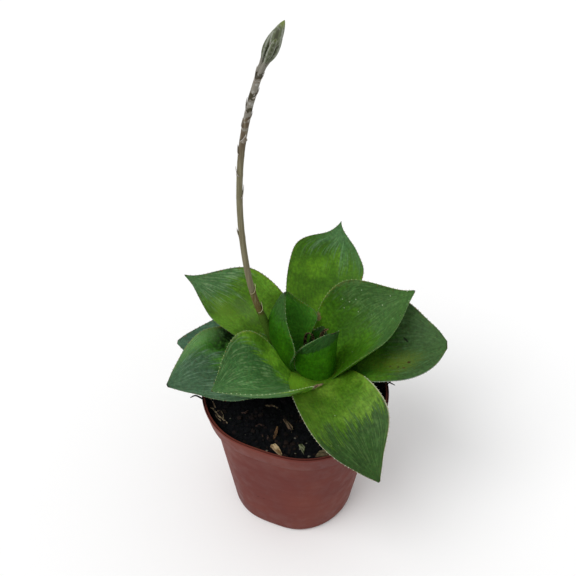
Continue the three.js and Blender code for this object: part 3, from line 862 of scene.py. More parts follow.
# %% The pot's finish
# Each mark's angle in degrees, height in millimetres, and half its width in degrees and half its
# height in millimetres. The first ten are dark marks by the foot and on the side, and the last two are
# painted shade on the lip, where it lies in shadow.
MARKS_AND_LIP_SHADE = [
    (-131, 1.1, 4, 0.5), (-119, 0.9, 2, 0.4), (-93, 0.8, 6, 0.4), (-60, 1.0, 5, 0.4), (40, 1.0, 6, 0.5),
    (150, 1.2, 5, 0.5), (-121, 18.5, 1.2, 0.25), (-116, 18.7, 1.4, 0.25),
    (70, 30, 2.5, 0.3), (-20, 12, 2, 0.3),
    (-168, 53.8, 6, 0.8), (4, 53.6, 9, 1.2),
]


def pot_finish():
    material, tree, shader = new_finish("brick_red_plastic", Roughness=0.5, Specular_IOR_Level=0.06)
    place = object_place(tree)
    split = node(tree, "SeparateXYZ", {0: place}).outputs
    angle = maths(tree, "ARCTAN2", split["Y"], split["X"])
    broad, small = grain(tree, place, 35.0, 3.0), grain(tree, place, 260.0, 3.0)
    level = node(tree, "Mapping", {"Vector": place, "Scale": (9.0, 9.0, 900.0)}).outputs[0]
    rings = grain(tree, level, 1.0, 2.0)
    shade = mix(tree, ramp(tree, broad, 0.35, 0.65), colour("612f2a"), colour("6d372e"))
    shade = mix(tree, ramp(tree, small, 0.5, 0.8, 0, 0.2), shade, colour("74403a"))
    shade = mix(tree, 1.0, shade, ramp_grey(tree, rings, 0.96, 1.04), "MULTIPLY")
    # Dark marks; the last two are painted shade on the lip.
    for facing, height, width, tall in MARKS_AND_LIP_SHADE:
        shape = spot_mask(tree, angle, split["Z"], (math.radians(facing), height * MM),
                          (math.radians(width), tall * MM), 0.0, small)
        shade = mix(tree, maths(tree, "MULTIPLY", shape, 0.7), shade, colour("2c120e"))
    # Painted shade: the fine groove of the lip is darkened where shadow falls in it.
    shade = mix(tree, maths(tree, "MULTIPLY", attribute(tree, "lip_groove_shade"), 0.75), shade, colour("2a0d0c"))
    # Painted shade: the wall inside the lip is painted nearly black, raggedly, where it lies in shadow.
    inner_wall_shade_share = maths(tree, "MULTIPLY", attribute(tree, "inner_wall_shade"), ramp(tree, small, 0.25, 0.45, 0.75, 1.0))
    shade = mix(tree, inner_wall_shade_share, shade, colour("0d0b0b"))
    tree.links.new(ramp(tree, small, 0.3, 0.7, 0.44, 0.6), shader.inputs["Roughness"])
    relief = maths(tree, "MULTIPLY_ADD", rings, 0.5, grain(tree, place, 900.0, 3.0))
    cover(tree, shader, shade, relief, 0.2, 0.0002)
    return material


make_pot(pot_finish())

# %% [markdown]
# ## The soil
# A plug of dark, crumbly mix fills the pot to just below the lip. It is drawn up from a disc like the
# pot, and its top is closed with many rings, so that it can be made lumpy.

# %% The soil's plug
# Heights and radii in millimetres. base is the underside, gap the distance from the pot's outer face,
# and the points above top_from are the plug's top.
SOIL = dict(
    crown=52.2, crown_radius=8, slope=51.6, slope_radius=20, edge=51.1, edge_radius=30.3,
    base=1.95, gap=1.45, top_from=50)
SOIL_RINGS = 44


def soil_height(x, y):
    """The height of the soil at a place, in millimetres."""
    away = math.hypot(x, y)
    if away < SOIL["slope_radius"]:
        share = max(0, (away - SOIL["crown_radius"]) / (SOIL["slope_radius"] - SOIL["crown_radius"]))
        level = lerp(SOIL["crown"], SOIL["slope"], share)
    else:
        share = (away - SOIL["slope_radius"]) / (SOIL["edge_radius"] - SOIL["slope_radius"])
        level = lerp(SOIL["slope"], SOIL["edge"], share)
    lumps = noise.noise(Vector((x, y, 0)) * 0.3) * 0.6 + noise.noise(Vector((x, y, 9)) * 0.9) * 0.4
    return level + lumps - 0.2


def make_soil(material):
    clear_selection()
    start = pot_radius(SOIL["base"]) - SOIL["gap"]
    bpy.ops.mesh.primitive_circle_add(
        vertices=144, radius=start * MM, fill_type="NGON", location=(0, 0, SOIL["base"] * MM))
    soil = new_piece("soil_plug")
    profile = [(start, SOIL["base"]), (pot_radius(24) - SOIL["gap"], 24)]
    profile += [(POT["body"] - SOIL["gap"], COLLAR_Z + 0.75)]
    profile += [(SOIL["edge_radius"] - 0.9, COLLAR_Z + 1.45), (SOIL["edge_radius"], SOIL["edge"])]
    for ring in range(1, SOIL_RINGS):
        profile.append((SOIL["edge_radius"] * (1 - ring / SOIL_RINGS), SOIL["edge"]))
    edit_mode(True)
    bpy.ops.mesh.select_all(action="SELECT")
    draw_up(profile)
    edit_mode(False)
    for point in soil.data.vertices:
        if point.co.z > SOIL["top_from"] * MM:
            point.co.z = soil_height(point.co.x / MM, point.co.y / MM) * MM
        point.co = pressed(point.co)
    outwards(soil)
    bpy.ops.object.shade_smooth()
    return finish_piece(soil, material, "soil", "soil")


print("the soil rises to about", SOIL["crown"], "mm")

# %% [markdown]
# Loose crumbs lie on the plug: more than a thousand small lumps of twenty faces each, sunk partly into
# it. Most are small, because the random number that gives the size is raised to a power.

# %% The soil's crumbs
CRUMBS = dict(count=1700, reach=28.9, least=0.25, more=0.75, power=2.5, shift=0.35)
# Pale specks between them, as x, y and size.
SPECKS = [
    (-21.4, -12.7, 0.45), (-15.9, -19.7, 0.5), (-2.8, -22.7, 0.6), (0.2, -20.7, 0.4), (-8.6, -25.6, 0.5),
    (0.3, -26.4, 0.35), (4.7, -27.4, 0.45), (1.8, -24.9, 0.3), (3.9, -22.6, 0.35), (14.0, 19.5, 0.5),
    (-19.5, 14.0, 0.45), (20.5, 9.0, 0.4), (4.0, 24.5, 0.45), (22.0, -11.5, 0.45), (-24.0, 3.0, 0.4),
]


def crumb_models(kinds=4):
    models = []
    for kind in range(kinds):
        clear_selection()
        bpy.ops.mesh.primitive_ico_sphere_add(subdivisions=1, radius=MM)
        crumb = new_piece(f"crumb_{kind}")
        edit_mode(True)
        bpy.ops.transform.vertex_random(offset=CRUMBS["shift"] * MM, seed=kind)
        edit_mode(False)
        models.append(keep_mesh_only(crumb))
    return models


def crumb_placing(model, x, y, size, flat, tint, chance):
    turn = Matrix.Rotation(chance.uniform(0, 2 * math.pi), 4, "Z")
    turn = turn @ Matrix.Rotation(chance.uniform(-0.6, 0.6), 4, "X")
    stretch = Matrix.Diagonal((size * chance.uniform(0.9, 1.6), size, size * flat, 1))
    z = soil_height(x, y) + size * chance.uniform(-0.2, 0.3)
    return model, Matrix.Translation(Vector((x, y, z)) * MM) @ turn @ stretch, {"tint": tint}


def make_crumbs(material):
    chance, models, placings = random.Random(4), crumb_models(), []
    for _ in range(CRUMBS["count"]):
        away, angle = CRUMBS["reach"] * math.sqrt(chance.random()), chance.uniform(0, 2 * math.pi)
        spot = pressed(Vector((away * math.cos(angle), away * math.sin(angle), 0)))
        size = CRUMBS["least"] + CRUMBS["more"] * chance.random() ** CRUMBS["power"]
        tint, flat = 0.9 * chance.random(), chance.uniform(0.5, 1)
        placings.append(crumb_placing(chance.choice(models), spot.x, spot.y, size, flat, tint, chance))
    for x, y, size in SPECKS:
        placings.append(crumb_placing(models[0], x, y, 0.75 * size, 0.6, 1.0, chance))
    return finish_piece(gather("soil_crumbs", placings), material, "soil")


print("pale specks:", len(SPECKS))

# %% [markdown]
# The mix is damp peat, so it is nearly black, and a few crumbs are dark brown. The tint of each crumb
# is stored on the mesh as a value from 0 to 1, and 1 is the pale grit.

# %% The soil's finish


def soil_finish():
    material, tree, shader = new_finish("damp_peat", Roughness=0.95, Specular_IOR_Level=0.1)
    small = grain(tree, object_place(tree), 900.0, 4.0)
    shade = mix(tree, ramp(tree, small, 0.4, 0.7), colour("07080b"), colour("121216"))
    cover(tree, shader, shade, small, 0.8, 0.0006)
    return material


def crumb_finish():
    material, tree, shader = new_finish("peat_crumbs", Roughness=0.9, Specular_IOR_Level=0.15)
    tint = attribute(tree, "tint")
    shade = mix(tree, ramp(tree, tint, 0.6, 0.92), colour("07080b"), colour("221815"))
    shade = mix(tree, ramp(tree, tint, 0.94, 0.97), shade, colour("6f6a60"))
    small = grain(tree, object_place(tree), 1800.0, 3.0)
    shade = mix(tree, 1.0, shade, ramp_grey(tree, small, 0.6, 1.3), "MULTIPLY")
    cover(tree, shader, shade, small, 0.6, 0.0003)
    return material


make_soil(soil_finish())
make_crumbs(crumb_finish())

# %% [markdown]
# ## Chips on the soil
# Splinters of bark and wood lie on the soil near the lip, each with its own broken outline. A circle
# of as many points as the outline has is moved to it and extruded up, and its top is drawn in. Its
# corners are bevelled, and a random shift of many smaller faces roughens it.

# %% The chips
# top is the share that the top is drawn in to, sunk the share of the thickness below the soil, tilt is
# in degrees, and the others are millimetres.
CHIP_WORK = dict(top=0.85, bevel=0.1, rough=0.09, sunk=0.35, tilt=4)
CHIPS = {
    "chip_cream": dict(
        outline=[(-7.8, -24.0), (-6.1, -23.2), (-4.8, -24.7), (-3.5, -27.6), (-4.3, -27.8), (-6.3, -25.6)],
        thick=1.3, turn=-52, tint="c4a984", vein="6d5233"),
    "chip_grey": dict(
        outline=[(1.2, -23.0), (2.5, -22.8), (3.6, -24.1), (3.3, -25.6), (3.1, -26.7), (2.4, -25.4),
                 (1.6, -24.4)],
        thick=1.1, turn=-60, tint="7d8064", vein="363c20"),
    "chip_tan": dict(
        outline=[(6.6, -27.4), (7.8, -25.4), (9.4, -24.9), (11.3, -25.4), (11.4, -26.9), (9.2, -27.6)],
        thick=1.0, turn=-12, tint="6b5e46", vein="30281a"),
    "chip_bark_left": dict(
        outline=[(-7.0, -21.3), (-6.2, -21.6), (-5.4, -19.2), (-5.1, -16.7), (-5.6, -16.1), (-6.4, -18.5)],
        thick=2.1, turn=76, tint="7d5c3e", vein="2a1a10"),
    "chip_bark_right": dict(
        outline=[(-4.1, -13.4), (-3.6, -13.0), (-1.5, -15.7), (-0.2, -17.3), (-0.9, -18.4), (-2.1, -17.2)],
        thick=1.7, turn=122, tint="78644f", vein="221812"),
    "chip_bark_back": dict(
        outline=[(-14.9, 18.4), (-12.4, 18.6), (-9.3, 20.3), (-9.2, 21.6), (-11.8, 21.5), (-14.6, 20.2)],
        thick=1.0, turn=20, tint="3f2c1f", vein="1c120c"),
}


def chip_finish(name, tint, vein, turn):
    material, tree, shader = new_finish("wood_of_" + name, Roughness=0.8, Specular_IOR_Level=0.2)
    place = object_place(tree)
    level = node(tree, "Mapping", {"Vector": place, "Rotation": (0, 0, -math.radians(turn))}).outputs[0]
    drawn = node(tree, "Mapping", {"Vector": level, "Scale": (300.0, 2200.0, 2200.0)}).outputs[0]
    fibre = grain(tree, drawn, 1.0, 3.0)
    shade = mix(tree, ramp(tree, fibre, 0.36, 0.56), colour(vein), colour(tint))
    patch = ramp(tree, grain(tree, place, 700.0), 0.5, 0.7, 0, 0.6)
    cover(tree, shader, mix(tree, patch, shade, colour(vein)), fibre, 0.6, 0.0003)
    return material


print("there are", len(CHIPS), "chips")

# %% [markdown]
# The corners of a chip are set one by one, on a circle with as many points as the outline has. It lies
# a little tilted, with part of its thickness below the top of the soil. The roughness comes out a little
# different on each run, by about a tenth of a millimetre.

# %% Making the chips


def make_chip(name, chip, seed):
    outline = [Vector((x, y, 0)) for x, y in chip["outline"]]
    middle = sum(outline, Vector()) / len(outline)
    clear_selection()
    bpy.ops.mesh.primitive_circle_add(vertices=len(outline), radius=MM, fill_type="NGON")
    piece = new_piece(name + "_splinter")
    for point, corner in zip(piece.data.vertices, outline):
        point.co = (corner - middle) * MM
    edit_mode(True)
    bpy.ops.mesh.select_all(action="SELECT")
    bpy.ops.mesh.extrude_region_move(TRANSFORM_OT_translate={"value": (0, 0, chip["thick"] * MM)})
    bpy.ops.transform.resize(value=(CHIP_WORK["top"], CHIP_WORK["top"], 1))
    bpy.ops.mesh.select_all(action="SELECT")
    bpy.ops.mesh.normals_make_consistent(inside=False)
    bpy.ops.mesh.bevel(offset=CHIP_WORK["bevel"] * MM, segments=1, affect="EDGES")
    bpy.ops.mesh.quads_convert_to_tris()
    bpy.ops.mesh.subdivide(number_cuts=3)
    bpy.ops.transform.vertex_random(offset=CHIP_WORK["rough"] * MM, seed=seed)
    edit_mode(False)
    lift = soil_height(middle.x, middle.y) - CHIP_WORK["sunk"] * chip["thick"]
    tilt = Matrix.Rotation(math.radians(CHIP_WORK["tilt"] * (-1) ** seed), 4, "X")
    piece.data.transform(Matrix.Translation(Vector((middle.x, middle.y, lift)) * MM) @ tilt)
    bpy.ops.object.shade_smooth_by_angle(angle=math.radians(28))
    finish = chip_finish(name, chip["tint"], chip["vein"], chip["turn"])
    return finish_piece(piece, finish, "bark" if "bark" in name else name, name)


for number, (name, chip) in enumerate(CHIPS.items()):
    make_chip(name, chip, number + 3)

# %% [markdown]
# ## Strands
# The stalk, the roots and the shreds of peat are all thin round strands along a line that bends. The
# line goes through a few chosen places. Between two of them it is a Bezier curve, whose handles come
# from the places on either side, so that the bend is smooth.

# %% Smooth lines


def smooth_line(places, count):
    """count + 1 points, evenly spaced, on a smooth line through the places."""
    spots = [Vector(place) for place in places]
    spots = [2 * spots[0] - spots[1]] + spots + [2 * spots[-1] - spots[-2]]
    dense = []
    for before, first, last, after in zip(spots, spots[1:], spots[2:], spots[3:]):
        a, b, c = ((far - near).length ** 0.5 for near, far in (
            (before, first), (first, last), (last, after)))
        leave = ((first - before) / a - (last - before) / (a + b) + (last - first) / b) * b
        reach = ((last - first) / b - (after - first) / (b + c) + (after - last) / c) * b
        dense += geometry.interpolate_bezier(first, first + leave / 3, last - reach / 3, last, 33)[:-1]
    dense.append(spots[-2])
    runs = [0.0]
    for near, far in zip(dense, dense[1:]):
        runs.append(runs[-1] + (far - near).length)
    even, at = [], 0
    for step in range(count + 1):
        goal = runs[-1] * step / count
        while at < len(runs) - 2 and runs[at + 1] < goal:
            at += 1
        even.append(dense[at].lerp(dense[at + 1], (goal - runs[at]) / (runs[at + 1] - runs[at])))
    return even


print("the line helper is ready")

# %% [markdown]
# A curve with a round bevel becomes the strand, with a radius of its own at each point, and is then made
# a mesh. Several strands of one kind are joined into one piece.

# %% Strands


def make_strand(name, line, radius_at, sides=12):
    """A round strand along a line in millimetres; radius_at gives its radius at a share of it."""
    curve = bpy.data.curves.new(name, "CURVE")
    curve.dimensions = "3D"
    curve.bevel_depth = MM
    curve.bevel_resolution = sides // 4 - 1
    curve.use_fill_caps = True
    spline = curve.splines.new("POLY")
    spline.points.add(len(line) - 1)
    for index, (point, spot) in enumerate(zip(spline.points, line)):
        point.co = (*(spot * MM), 1)
        point.radius = radius_at(index / (len(line) - 1))
    strand = bpy.data.objects.new(name, curve)
    bpy.context.scene.collection.objects.link(strand)
    clear_selection()
    strand.select_set(True)
    bpy.context.view_layer.objects.active = strand
    bpy.ops.object.convert(target="MESH")
    strand = bpy.context.object
    outwards(strand)
    bpy.ops.object.shade_smooth_by_angle(angle=math.radians(60))
    return strand


def join_pieces(name, pieces):
    clear_selection()
    for piece in pieces:
        piece.select_set(True)
    bpy.context.view_layer.objects.active = pieces[0]
    bpy.ops.object.join()
    whole = bpy.context.object
    whole.name = whole.data.name = name
    return whole


print("the strand helpers are ready")


# %% [markdown]
# ## The flower stalk
# A thin stalk, a little swollen at each node, where a bract clasps it. Below the lowest bract it is
# green, fleshy and thicker. Above that it is woody: olive brown at first, then greyer and darker, with
# silvery skin in patches near the buds.

# %% The flower stalk
STALK_LINE = [
    (1.0, 4.6, 57), (-4.5, 5, 62), (-9.9, 5, 76.9), (-14.1, 5, 91.6), (-16.2, 5, 108),
    (-16.7, 5, 124.5), (-15.5, 5, 140), (-12.9, 5, 152.6), (-10.1, 5, 161.5)]
STALK_FOOT, STALK_TIP = 1.15, 0.8
GREEN_TOP = 82.6
STALK_STEPS = 420
# more is a share of the radius, scale is how fast the wobble changes, and the others are millimetres.
NODE = dict(more=0.05, below=0.2, reach=0.7)
FLESHY = dict(more=0.3, over=2)
FULL = dict(more=0.1, start=130, over=20)
WOBBLE = dict(more=0.03, scale=0.4)
STALK_SPOTS = smooth_line(STALK_LINE, STALK_STEPS)

# Each bract's height, facing in degrees from the right, length, spread to either side and lowest edge.
BRACTS = [
    (83, 20, 3.4, 170, 0.5), (90.5, 0, 3.6, 165, 0.7), (112, 175, 3, 80, 0.3), (125.5, 10, 4, 100, 0.4),
    (132.5, 190, 2.8, 90, 0.4), (138.5, 165, 2.8, 100, 0.5), (142.5, -60, 2.8, 100, 0.6),
    (146, 150, 2.8, 110, 0.6), (148.6, 0, 2.8, 100, 0.6), (150.6, 172, 4, 100, 0.6),
    (154.6, 5, 3.2, 110, 0.7), (158.6, 178, 4.2, 100, 0.7), (158.9, 0, 3, 100, 0.7)]


def stalk_frame(share):
    """The stalk's point, heading and two cross directions at a share of its length."""
    at = min(int(share * STALK_STEPS), STALK_STEPS - 1)
    point = STALK_SPOTS[at].lerp(STALK_SPOTS[at + 1], share * STALK_STEPS - at)
    ahead = (STALK_SPOTS[at + 1] - STALK_SPOTS[at]).normalized()
    right = Vector((0, 1, 0)).cross(ahead).normalized()
    return point, ahead, right, ahead.cross(right)


def share_at_height(height):
    return next(i for i, spot in enumerate(STALK_SPOTS) if spot.z >= height) / STALK_STEPS


def stalk_radius(share):
    """The radius: a low swelling at each node, thicker where it is green and again near the buds."""
    height = stalk_frame(share)[0].z
    swelling = sum(math.exp(-((height - bract[0] + NODE["below"]) / NODE["reach"]) ** 2) for bract in BRACTS)
    wobble = noise.noise(Vector((height * WOBBLE["scale"], 3, 0))) * WOBBLE["more"]
    fleshy = FLESHY["more"] * max(0, min(1, (GREEN_TOP - height) / FLESHY["over"]))
    full = FULL["more"] * max(0, min(1, (height - FULL["start"]) / FULL["over"]))
    thicker = 1 + NODE["more"] * min(swelling, 1) + wobble + fleshy + full
    return lerp(STALK_FOOT, STALK_TIP, share) * thicker


print("the stalk has", len(BRACTS), "nodes")


# %% [markdown]
# The stalk is almost upright, so grain that is drawn out along Z gives it fine lines lengthwise. The
# changes from green to brown and grey follow the height, and near the top the skin is silvery between
# the nodes and dark just above them.

# %% The stalk's finish
# Heights in millimetres, from the lowest to the highest edge of each band.
SILVER_BANDS = [(145.8, 146.4), (149.3, 150.9), (151.9, 154.1), (156.0, 159.6)]
DARK_BANDS = [(142.9, 143.3), (150.9, 151.8), (154.2, 155.8), (159.9, 161.3)]


def stalk_finish():
    material, tree, shader = new_finish("stalk_skin", Roughness=0.6, Specular_IOR_Level=0.2)
    place = object_place(tree)
    height = node(tree, "SeparateXYZ", {0: place}).outputs["Z"]
    drawn = node(tree, "Mapping", {"Vector": place, "Scale": (2600.0, 2600.0, 160.0)}).outputs[0]
    fibre, patch = grain(tree, drawn, 1.0, 3.0), grain(tree, place, 900.0, 3.0)
    rough_height = maths(tree, "MULTIPLY_ADD", maths(tree, "SUBTRACT", patch, 0.5), 0.0028, height)

    def banded(bands):
        whole = 0.0
        for low, high in bands:
            inside = maths(tree, "MULTIPLY", ramp(tree, rough_height, (low - 0.3) * MM, (low + 0.2) * MM),
                           ramp(tree, rough_height, (high + 0.3) * MM, (high - 0.2) * MM))
            whole = maths(tree, "MAXIMUM", inside, whole)
        return whole

    shade = mix(tree, ramp(tree, height, 0.062, 0.078), colour("2f5208"), colour("43601a"))
    shade = mix(tree, ramp(tree, height, 0.0815, 0.0835), shade, colour("5c5028"))
    shade = mix(tree, ramp(tree, height, 0.0895, 0.0925), shade, colour("6e674f"))
    shade = mix(tree, ramp(tree, height, 0.095, 0.125), shade, colour("68634a"))
    shade = mix(tree, ramp(tree, height, 0.132, 0.144), shade, colour("554838"))
    woody = maths(tree, "MULTIPLY", ramp(tree, fibre, 0.42, 0.7, 0, 0.45), ramp(tree, height, 0.082, 0.088))
    shade = mix(tree, woody, shade, colour("8b846c"))
    shade = mix(tree, maths(tree, "MULTIPLY", banded(SILVER_BANDS), 0.75), shade, colour("827f76"))
    pale = maths(tree, "MULTIPLY", ramp(tree, patch, 0.52, 0.66, 0, 0.7), ramp(tree, height, 0.144, 0.149))
    shade = mix(tree, pale, shade, colour("a09f98"))
    shade = mix(tree, maths(tree, "MULTIPLY", banded(DARK_BANDS), 0.85), shade, colour("33301f"))
    cover(tree, shader, shade, fibre, 0.5, 0.0002)
    return material


STALK_SKIN = stalk_finish()
stalk = make_strand("stalk_stem", STALK_SPOTS[::2], stalk_radius, 20)
finish_piece(stalk, STALK_SKIN, "stalk", "flower_stalk")

# %% [markdown]
# ## The bracts
# A bract is a dry papery scale, wrapped round the stalk below each node, low at the back and drawn up
# to a point. A flat grid is rolled round the stalk and cut to that outline by the same rule, then
# given its thickness. Its free edge is bleached, so the height within the bract is kept for the finish.

# %% The bracts
# taper narrows a bract upwards, full is the spread at which its outline is a plain triangle, snug sets it
# off the stalk as a share of the radius, and the others are millimetres.
BRACT = dict(taper=0.35, full=62, snug=1.03, sunk=0.25, rumple=0.1, thick=0.11)
# How far the free edge stands off: more for the broad bracts low on the stalk.
FLARE = dict(low=0.4, high=0.28, low_below=100, curve=1.5)


def make_bract(number, height, facing, length, spread, low):
    clear_selection()
    bpy.ops.mesh.primitive_grid_add(x_subdivisions=28, y_subdivisions=8, size=2)
    bract = new_piece(f"bract_scale_{number}")
    share = share_at_height(height)
    start, ahead, right, back = stalk_frame(share)
    radius = lerp(STALK_FOOT, STALK_TIP, share)
    flare = FLARE["low"] if height < FLARE["low_below"] else FLARE["high"]
    rims = []
    for point in bract.data.vertices:
        across, up = point.co.x, (point.co.y + 1) / 2
        angle = math.radians(facing + spread * across * (1 - BRACT["taper"] * up))
        rim = low + (length - low) * (1 - abs(across)) ** (spread / BRACT["full"])
        rumple = BRACT["rumple"] * noise.noise(Vector((across * 2, up * 2, number)))
        out = radius * BRACT["snug"] + flare * up ** FLARE["curve"] + rumple
        spot = start + ahead * (rim * up - BRACT["sunk"])
        spot += (right * math.cos(angle) + back * math.sin(angle)) * out
        point.co = spot * MM
        rims.append(up)
    store(bract, "rim", rims)
    bpy.ops.object.shade_smooth()
    apply_modifier(bract, "paper", "SOLIDIFY", thickness=BRACT["thick"] * MM, offset=0)
    return bract


def bract_finish():
    material, tree, shader = new_finish("bract_paper", Roughness=0.7, Specular_IOR_Level=0.2)
    place, rim = object_place(tree), attribute(tree, "rim")
    height = node(tree, "SeparateXYZ", {0: place}).outputs["Z"]
    drawn = node(tree, "Mapping", {"Vector": place, "Scale": (1500.0, 1500.0, 300.0)}).outputs[0]
    fibre = grain(tree, drawn, 1.0, 3.0)
    green = mix(tree, ramp(tree, height, 0.084, 0.0905), colour("3f5d16"), colour("5f552c"))
    dry = mix(tree, ramp(tree, fibre, 0.35, 0.65), colour("6a5d4e"), colour("938c82"))
    shade = mix(tree, ramp(tree, height, 0.1, 0.12), green, dry)
    edge = mix(tree, ramp(tree, height, 0.1, 0.12), colour("c4bd98"), colour("b3aea6"))
    shade = mix(tree, ramp(tree, rim, 0.66, 0.86, 0, 0.9), shade, edge)
    cover(tree, shader, shade, fibre, 0.4, 0.0002)
    return material


BRACT_PAPER = bract_finish()
for number, bract in enumerate(BRACTS):
    finish_piece(make_bract(number + 1, *bract), BRACT_PAPER, "bract", f"bract_{number + 1}")

# %% [markdown]
# ## The buds
# Four long buds stand close round the end of the stalk, on short thin necks, and a fifth comes up
# between them. Each is a sphere drawn out to a point, with three low ribs where its petals overlap.

# %% The buds
SPIKE_LEAN = math.radians(26.2)
WHORL_BUD = dict(start=-0.7, radius=0.82, neck=0.2)
# Facing in degrees from the right, length and distance from the middle of each bud of the whorl.
WHORL = [(180, 11.9, 1.34), (270, 10.6, 1.25), (0, 11.2, 1.25), (90, 11, 1.25)]
END_BUD = dict(start=5.4, length=8.4, radius=1.45, offset=0.0, neck=0.0)
BUD_SEGMENTS, BUD_RINGS = 48, 40
# The ribs: how many, how much they twist, and how far they stand out as a share of the radius.
BUD_RIBS = dict(count=3, twist=4, out=0.05)
# The neck's radius in millimetres, and the share of the length over which its foot is rounded.
NECK = dict(radius=0.54, rounded=0.04, thinning=1.5)
# A bud bows out from the share close of its distance, and back in by the share nod at its tip.
BUD_BOW = dict(close=0.4, nod=0.12)
# The buds of the whorl show a little less of the green tip.
WHORL_RIPE = 0.88


def make_bud(name, facing, start, length, radius, offset, neck):
    clear_selection()
    bpy.ops.mesh.primitive_uv_sphere_add(segments=BUD_SEGMENTS, ring_count=BUD_RINGS)
    bud = new_piece(name)
    ahead = Vector((math.sin(SPIKE_LEAN), 0, math.cos(SPIKE_LEAN)))
    right = Vector((math.cos(SPIKE_LEAN), 0, -math.sin(SPIKE_LEAN)))
    away = right * math.cos(math.radians(facing)) + Vector((0, 1, 0)) * math.sin(math.radians(facing))
    beside = ahead.cross(away)
    along_values, rib_values = [], []
    for point in bud.data.vertices:
        along = 1 - math.acos(max(-1, min(1, point.co.z))) / math.pi
        around = math.atan2(point.co.y, point.co.x)
        rib = math.cos(BUD_RIBS["count"] * around + BUD_RIBS["twist"] * along)
        above = max(0.0, along - neck) / (1 - neck)
        swell = math.sin(math.pi * above ** (1.15 if neck else 0.9)) ** 0.8 if above > 0 else 0
        stem = 0
        if neck:
            rounded = min(1, along / NECK["rounded"]) ** 0.5
            stem = NECK["radius"] * rounded * max(0, 1 - NECK["thinning"] * above)
        girth = max(stem, radius * swell * (1 + BUD_RIBS["out"] * rib))
        bow = lerp(BUD_BOW["close"], 1, math.sin(min(1, above / 0.5) * math.pi / 2))
        distance = offset * bow * (1 - BUD_BOW["nod"] * above ** 3)
        spot = STALK_SPOTS[-1] + ahead * (start + along * length)
        spot += away * (distance + girth * math.cos(around)) + beside * girth * math.sin(around)
        point.co = spot * MM
        along_values.append(WHORL_RIPE * along if neck else along)
        rib_values.append(rib)
    store(bud, "along", along_values)
    store(bud, "rib", rib_values)
    outwards(bud)
    bpy.ops.object.shade_smooth()
    return bud


print("a bud is a sphere of", BUD_SEGMENTS, "by", BUD_RINGS)

# %% [markdown]
# A bud is greyish green and mottled, pale along its ribs, brownish at its neck and greener at its tip.
# The finish reads two values stored on the mesh: `along`, from foot to tip, and `rib`.

# %% The buds' finish


def bud_finish():
    material, tree, shader = new_finish("bud_skin", Roughness=0.55, Specular_IOR_Level=0.3)
    along, rib = attribute(tree, "along"), attribute(tree, "rib")
    patch = grain(tree, object_place(tree), 1300.0, 3.0)
    shade = mix(tree, ramp(tree, rib, -0.9, -0.3), colour("3c3f2a"), colour("555d42"))
    shade = mix(tree, ramp(tree, rib, 0.45, 0.9, 0, 0.85), shade, colour("888b80"))
    shade = mix(tree, ramp(tree, patch, 0.5, 0.66, 0, 0.5), shade, colour("898c7e"))
    shade = mix(tree, ramp(tree, patch, 0.46, 0.34, 0, 0.6), shade, colour("3b402c"))
    shade = mix(tree, ramp(tree, along, 0.72, 0.95, 0, 0.75), shade, colour("6a7a2c"))
    shade = mix(tree, ramp(tree, along, 0.34, 0.24, 0, 0.8), shade, colour("7a756c"))
    cover(tree, shader, shade, patch, 0.4, 0.0002)
    return material


BUD_SKIN = bud_finish()
for number, (facing, length, offset) in enumerate(WHORL):
    bud = make_bud(f"whorl_bud_{number + 1}", facing, length=length, offset=offset, **WHORL_BUD)
    finish_piece(bud, BUD_SKIN, "bud", f"bud_{number + 1}")
finish_piece(make_bud("top_bud", 0, **END_BUD), BUD_SKIN, "bud", "bud_end")

# %% [markdown]
# ## Roots and shreds of peat
# A few pale roots show on the soil near the left side of the pot, and shreds of dark peat hang over
# the lip on both sides. They are strands again, which lie on the soil or on the lip.

# %% Roots and shreds
# Each strand's places on the soil, with its radius in millimetres.
ROOTS = [
    ([(-29.0, -4.2), (-27.6, -6.5), (-27.0, -8.0), (-26.0, -9.5), (-24.8, -10.1), (-23.8, -11.8),
      (-23.5, -13.3)], 0.26),
    ([(-28.5, -8.2), (-27.2, -9.3), (-26.0, -10.9), (-25.2, -12.3), (-23.6, -13.5), (-22.0, -14.9)], 0.32),
    ([(-26.5, -11.4), (-25.5, -13.1), (-24.2, -14.1)], 0.2),
    ([(-10.0, -7.8), (-7.0, -8.3), (-5.1, -9.3)], 0.3),
    ([(14.5, 20.5), (11.0, 22.0), (8.5, 21.0), (6.0, 23.0)], 0.28),
]
BARK_BITS = [
    ([(-17.9, -10.6), (-16.6, -10.7), (-15.6, -9.4)], 0.4),
    ([(-12.8, -16.1), (-11.3, -15.7), (-9.8, -15.9)], 0.45),
    ([(-8.6, -19.8), (-8.3, -21.9)], 0.45),
    ([(-10.2, -19.5), (-10.2, -20.8), (-9.8, -22.2)], 0.28),
    ([(18.0, 14.0), (20.5, 12.0)], 0.5),
    ([(-20.0, 8.0), (-17.5, 10.0)], 0.45),
]
SHREDS = [
    ([(-29.4, -7.2, 52.0), (-31.6, -7.0, 54.35), (-33.6, -6.2, 54.5), (-35.2, -6.9, 54.2)], 0.3),
    ([(-29.5, -5.6, 52.0), (-31.4, -5.8, 54.4), (-32.8, -5.9, 55.0), (-33.8, -5.2, 55.1)], 0.22),
    ([(29.8, 2.6, 52.0), (31.6, 2.2, 54.35), (32.8, 1.3, 54.5), (34.2, 0.5, 54.3)], 0.28),
    ([(29.8, 0.8, 52.0), (31.7, 1.0, 54.3), (32.9, 1.9, 54.9), (33.6, 2.7, 55.0)], 0.2),
]


def on_the_soil(places, lift):
    return [(x, y, soil_height(x, y) + lift) for x, y in places]


def tapered(radius, end=0.35):
    """Full in the middle and thin at both ends."""
    return lambda share: radius * lerp(end, 1, math.sin(math.pi * share) ** 0.5)


